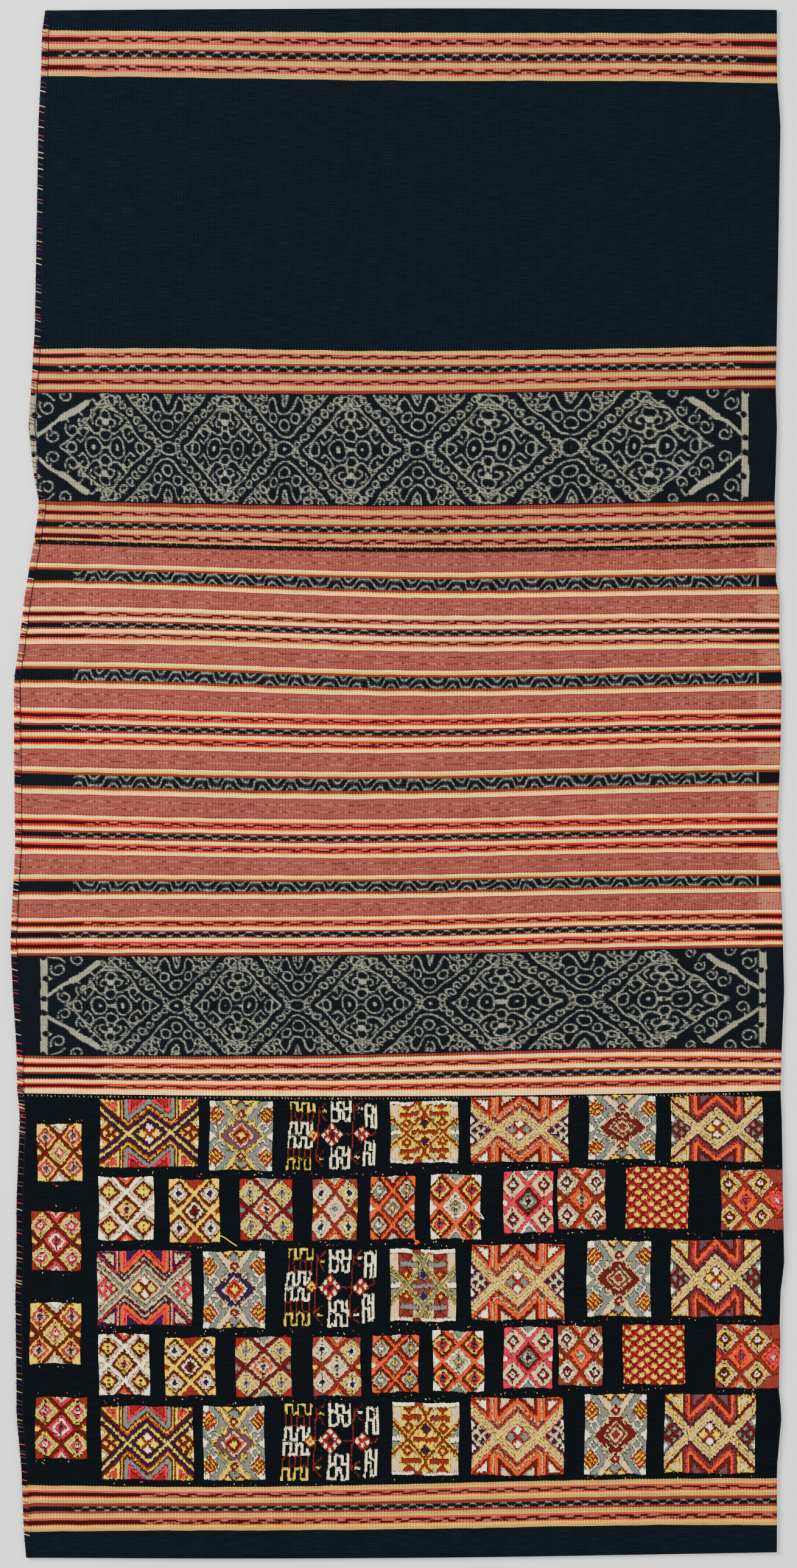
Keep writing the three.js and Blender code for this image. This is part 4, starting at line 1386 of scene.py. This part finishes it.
def tube(path, wide, high, tone, sides=5):
    """A closed thread along a path: rings of points square to it and a point at both ends.

    A ring's points lie on an oval: the cosine of the angle times the half width sideways, plus
    the sine times the half height upwards.
    """
    path = np.asarray(path, dtype=float)
    ahead = np.gradient(path, axis=0)
    ahead /= np.linalg.norm(ahead, axis=1)[:, None]
    aside = np.cross(ahead, (0.0, 1e-6, 1.0))
    aside /= np.linalg.norm(aside, axis=1)[:, None]
    up = np.cross(aside, ahead)
    angle = np.arange(sides)[None, :, None] * 2 * np.pi / sides
    rounds = path[:, None] + wide * np.cos(angle) * aside[:, None] + (
        high * np.sin(angle) * up[:, None])
    points = np.concatenate([rounds.reshape(-1, 3), path[[0, -1]]])
    quads = grid_faces(len(path), sides, 0)[:, [0, 3, 2, 1]]
    j = np.arange(sides)
    after = (j + 1) % sides
    last = (len(path) - 1) * sides
    start = np.stack([np.full(sides, len(points) - 2), j, after], axis=1)
    end = np.stack([np.full(sides, len(points) - 1), last + after, last + j], axis=1)
    return points, quads, np.concatenate([start, end]), np.tile(tone, (len(quads), 1))


def seam_line(down, share, sizes):
    """x and y of a line across the front layer at shares of its width."""
    left, right, y = place(down, share)
    start = left + sizes.cloth / MM
    end = right - total_height(sizes) / 2
    return start + (end - start) * share, y


def across_stitch(x, y, lean, reach, lift, sizes, front=True):
    """A stitch's path over a seam: from above the line to below it, leaning, highest midway."""
    share = np.linspace(0, 1, 5)
    xs = x + lean * (share - 0.5)
    ys = y + reach[0] - (reach[0] + reach[1]) * share
    rise = lift * np.sin(np.pi * share) - 0.12
    zs = front_height(xs, ys, sizes) + rise if front else -0.5 * rise
    return np.stack([xs, ys, zs], axis=1)


def photo_thread(points, half, tone, sizes):
    """A thread lying on the cloth along points of the photograph, its ends in the cloth."""
    x = (points[:, 0] - PHOTO_MIDDLE) * PIXEL
    y = PANEL_TOP - (points[:, 1] - PHOTO_TOP) * PIXEL
    z = front_height(x, y, sizes) + half * 0.7
    z[[0, -1]] -= half
    return tube(np.stack([x, y, z], axis=1), half, half, np.array(tone))


class SKIRT_OT_panel_seams(bpy.types.Operator):
    """Sew the panels together: a dense black overcast seam above, sparse light stitches below"""

    bl_idname = "skirt.panel_seams"
    bl_label = "Panel Seams"

    def execute(self, context):
        sizes, tones = context.scene.skirt_sizes, context.scene.patch_colours
        material = yarn_material("twisted_sewing_thread")
        thick = sizes.stitch / MM / 2
        rng = np.random.default_rng(7)
        parts = []
        for front in (True, False):
            share = np.linspace(0.001, 0.999, 200)
            x, y = seam_line(UPPER_SEAM, share, sizes)
            z = front_height(x, y, sizes) - 0.05 if front else np.full(x.shape, 0.05)
            parts.append(tube(np.stack([x, y, z], axis=1), 1.8, 0.4 if front else 0.3,
                              BLACK_THREAD, sides=8))
            share = np.linspace(0.002, 0.998, 440) + rng.uniform(-0.0004, 0.0004, 440)
            x, y = seam_line(UPPER_SEAM, share, sizes)
            for a, b in zip(x, y):
                reach = rng.uniform(1.8, 2.5, 2)
                path = across_stitch(a, b, 1.0 + rng.uniform(-0.3, 0.3), reach, 0.55, sizes, front)
                parts.append(tube(path, thick * 1.15, thick, BLACK_THREAD))
            for a, b in zip(x, y):
                if rng.uniform() < 0.34:
                    offset = rng.uniform(-1.1, 1.7)
                    path = across_stitch(a + 0.65, b + offset, 0.4, (0.45, 0.45), 0.7, sizes, front)
                    tone = np.array(tones.cream) * rng.uniform(0.2, 0.8)
                    parts.append(tube(path, 0.17, 0.17, tone))
        seam = joined_piece("overcast_seam", parts, material, smooth=True)
        parts = []
        for front in (True, False):
            share = np.cumsum(rng.uniform(0.0036, 0.0066, 190))
            share = share[share < 0.997]
            x, y = seam_line(LOWER_JOIN, share, sizes)
            for a, b in zip(x, y):
                drop = 1.9 + rng.uniform(-0.35, 0.35)
                path = across_stitch(a, b - drop, 0.6, (0.5, 0.5), 0.5, sizes, front)
                tone = np.array(tones.grey if rng.uniform() < 0.6 else tones.cream)
                parts.append(tube(path, 0.3, 0.25, tone * rng.uniform(0.5, 1.2)))
        seam = joined_piece("stitched_seam", parts, material, smooth=True)
        return {"FINISHED"}


class SKIRT_OT_side_seam(bpy.types.Operator):
    """Whip the turned ends of the cloth together along the left edge, over and over, with a dark
    thread of painted shade along the turned edge
    """

    bl_idname = "skirt.side_seam"
    bl_label = "Side Seam"

    def execute(self, context):
        sizes, tones = context.scene.skirt_sizes, context.scene.patch_colours
        material = bpy.data.materials["twisted_sewing_thread"]
        rng = np.random.default_rng(11)
        downs = np.cumsum(rng.uniform(2.5, 7.5, 320))
        downs = np.concatenate([downs[downs < 1262], rng.uniform(868, 925, 26)])
        palette = (tones.purple, tones.mauve, tones.rust, tones.pink, tones.mauve, tones.cream)
        # A dark running thread along the inner edge of the turned strip stands in for the shadow
        # line that the edge casts: painted shade
        line = np.linspace(4.0, 1272.0, 300)
        x = 5.6 + edge_at(line, 1) + 0.4 * np.sin(line / 31)
        y = PANEL_TOP - line
        path = np.stack([x, y, front_height(x, y, sizes) + 0.03], axis=1)
        parts = [tube(path, 0.42, 0.22, np.array(tones.purple) * 0.35)]
        for down in downs:
            out = np.array([5.4, 4.3, 2.8, 1.4, 0.45, 0.05]) - rng.uniform(0, 0.6)
            slant = np.linspace(0, rng.uniform(1.2, 2.6), 6)
            x = edge_at(down, 1) + out
            y = PANEL_TOP - down - 2.0 + slant
            rest = np.array([-0.1, 0.05, 0.2, 0.1, -0.5, -total_height(sizes) / 2])
            z = front_height(x, y, sizes) + rest
            tone = np.array(palette[rng.integers(len(palette))]) * rng.uniform(0.5, 1.1)
            parts.append(tube(np.stack([x, y, z], axis=1), 0.38, 0.3, tone))
        seam = joined_piece("side_seam_whip_stitches", parts, material, smooth=True)
        return {"FINISHED"}


class SKIRT_OT_thread_ends(bpy.types.Operator):
    """Leave cut ends of the patch yarns beside the patches, and three loose threads"""

    bl_idname = "skirt.thread_ends"
    bl_label = "Thread Ends"

    def execute(self, context):
        sizes, tones = context.scene.skirt_sizes, context.scene.patch_colours
        rng = np.random.default_rng(23)
        parts = []
        for x0, x1, y0, y1 in (box for _, boxes in PATCH_ROWS.values() for box in boxes):
            for row, sign in ((y0, -1), (y1, 1)):
                for column in rng.uniform(x0, x1, rng.integers(3, 8)):
                    start = row + sign * rng.uniform(2, 8)
                    step = np.linspace(0, 1, 3)[:, None] * rng.uniform(-1.5, 1.5, 2)
                    points = np.array([column, start]) + step * (0.7, 1.4)
                    tone = getattr(tones, END_YARNS[rng.integers(len(END_YARNS))])
                    parts.append(photo_thread(points, 0.3, tone, sizes))
        for name, half, numbers in LOOSE_THREADS:
            points = np.reshape(numbers, (-1, 2))
            knots, share = np.linspace(0, 1, len(points)), np.linspace(0, 1, 25)
            bends = np.stack([np.interp(share, knots, points[:, k]) for k in (0, 1)], axis=1)
            bends[1:-1] = (bends[:-2] + bends[1:-1] * 2 + bends[2:]) / 4
            parts.append(photo_thread(bends, half, getattr(tones, name), sizes))
        piece = joined_piece("thread_ends", parts, bpy.data.materials["dyed_weft_yarn"],
                             smooth=True)
        return {"FINISHED"}


class SKIRT_OT_stage(bpy.types.Operator):
    """Make the pale floor, the soft studio lights and the camera over the cloth"""

    bl_idname = "skirt.stage"
    bl_label = "Studio Stage"

    def execute(self, context):
        corners = [(-4000, -4000, -0.4), (4000, -4000, -0.4), (4000, 4000, -0.4),
                   (-4000, 4000, -0.4)]
        floor = add_mesh("floor", corners, [(0, 1, 2, 3)])
        material, add = new_material("painted_studio_floor")
        grain = add("TexNoise", add("TexCoord").node.outputs["Object"], 9.0)
        tone = add("Mix", grain, (0.66, 0.66, 0.65, 1), (0.72, 0.72, 0.71, 1), data_type="RGBA")
        add("OutputMaterial", add("BsdfPrincipled", named={"Base Color": tone, "Roughness": 0.8}))
        floor.data.materials.append(material)
        world = bpy.data.worlds.new("studio")
        world.use_nodes = True
        world.node_tree.nodes["Background"].inputs[0].default_value = (1, 1, 1, 1)
        world.node_tree.nodes["Background"].inputs[1].default_value = 0.95
        context.scene.world = world
        for name, spot, size, power in (
            ("key_light", (-2.2, 1.0, 2.2), 1.6, 215.0),
            ("fill_light", (2.4, -0.4, 2.6), 2.4, 70.0),
        ):
            light = bpy.data.lights.new(name, "AREA")
            light.energy = power
            light.size = size
            lamp = bpy.data.objects.new(name, light)
            lamp.location = spot
            direction = -lamp.location
            lamp.rotation_euler = direction.to_track_quat("-Z", "Y").to_euler()
            context.scene.collection.objects.link(lamp)
        camera = bpy.data.cameras.new("camera")
        camera.lens = 100.0
        camera.sensor_width = 36.0
        eye = bpy.data.objects.new("camera", camera)
        photo_width, photo_height = PHOTO_SIZE
        middle_x = (photo_width / 2 - PHOTO_MIDDLE) * PIXEL
        middle_y = PANEL_TOP - (photo_height / 2 - PHOTO_TOP) * PIXEL
        distance = photo_height * PIXEL * MM * camera.lens / camera.sensor_width
        eye.location = (middle_x * MM, middle_y * MM, distance + 4 * MM)
        context.scene.collection.objects.link(eye)
        context.scene.camera = eye
        return {"FINISHED"}


class SKIRT_PT_pieces(bpy.types.Panel):
    """Lists the pieces of the skirt in the sidebar"""

    bl_idname = "SKIRT_PT_pieces"
    bl_label = "Tubular Skirt"
    bl_space_type = "VIEW_3D"
    bl_region_type = "UI"
    bl_category = "Skirt"

    def draw(self, context):
        for operator in OPERATORS:
            self.layout.operator(operator.bl_idname)
        for group in GROUPS:
            settings = getattr(context.scene, group)
            box = self.layout.box()
            for name in settings.__annotations__:
                box.prop(settings, name)


OPERATORS = (
    SKIRT_OT_stage, SKIRT_OT_waist_panel, SKIRT_OT_middle_panel, SKIRT_OT_patches,
    SKIRT_OT_hem_panel, SKIRT_OT_panel_seams, SKIRT_OT_side_seam, SKIRT_OT_thread_ends,
)
GROUPS = {"skirt_sizes": SkirtSizes, "skirt_colours": SkirtColours,
          "patch_colours": PatchColours}
CLASSES = (*GROUPS.values(), *OPERATORS, SKIRT_PT_pieces)


def register():
    """Registers the classes and hangs the settings on the scene."""
    for cls in CLASSES:
        bpy.utils.register_class(cls)
    for name, group in GROUPS.items():
        setattr(bpy.types.Scene, name, bpy.props.PointerProperty(type=group))


def unregister():
    """Takes the settings and the classes away again."""
    for name in GROUPS:
        delattr(bpy.types.Scene, name)
    for cls in reversed(CLASSES):
        bpy.utils.unregister_class(cls)


def main():
    """Registers the add-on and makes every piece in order."""
    register()
    bpy.ops.skirt.stage()
    bpy.ops.skirt.waist_panel()
    bpy.ops.skirt.middle_panel()
    bpy.ops.skirt.patches()
    bpy.ops.skirt.hem_panel()
    bpy.ops.skirt.panel_seams()
    bpy.ops.skirt.side_seam()
    bpy.ops.skirt.thread_ends()


if __name__ == "__main__":
    main()
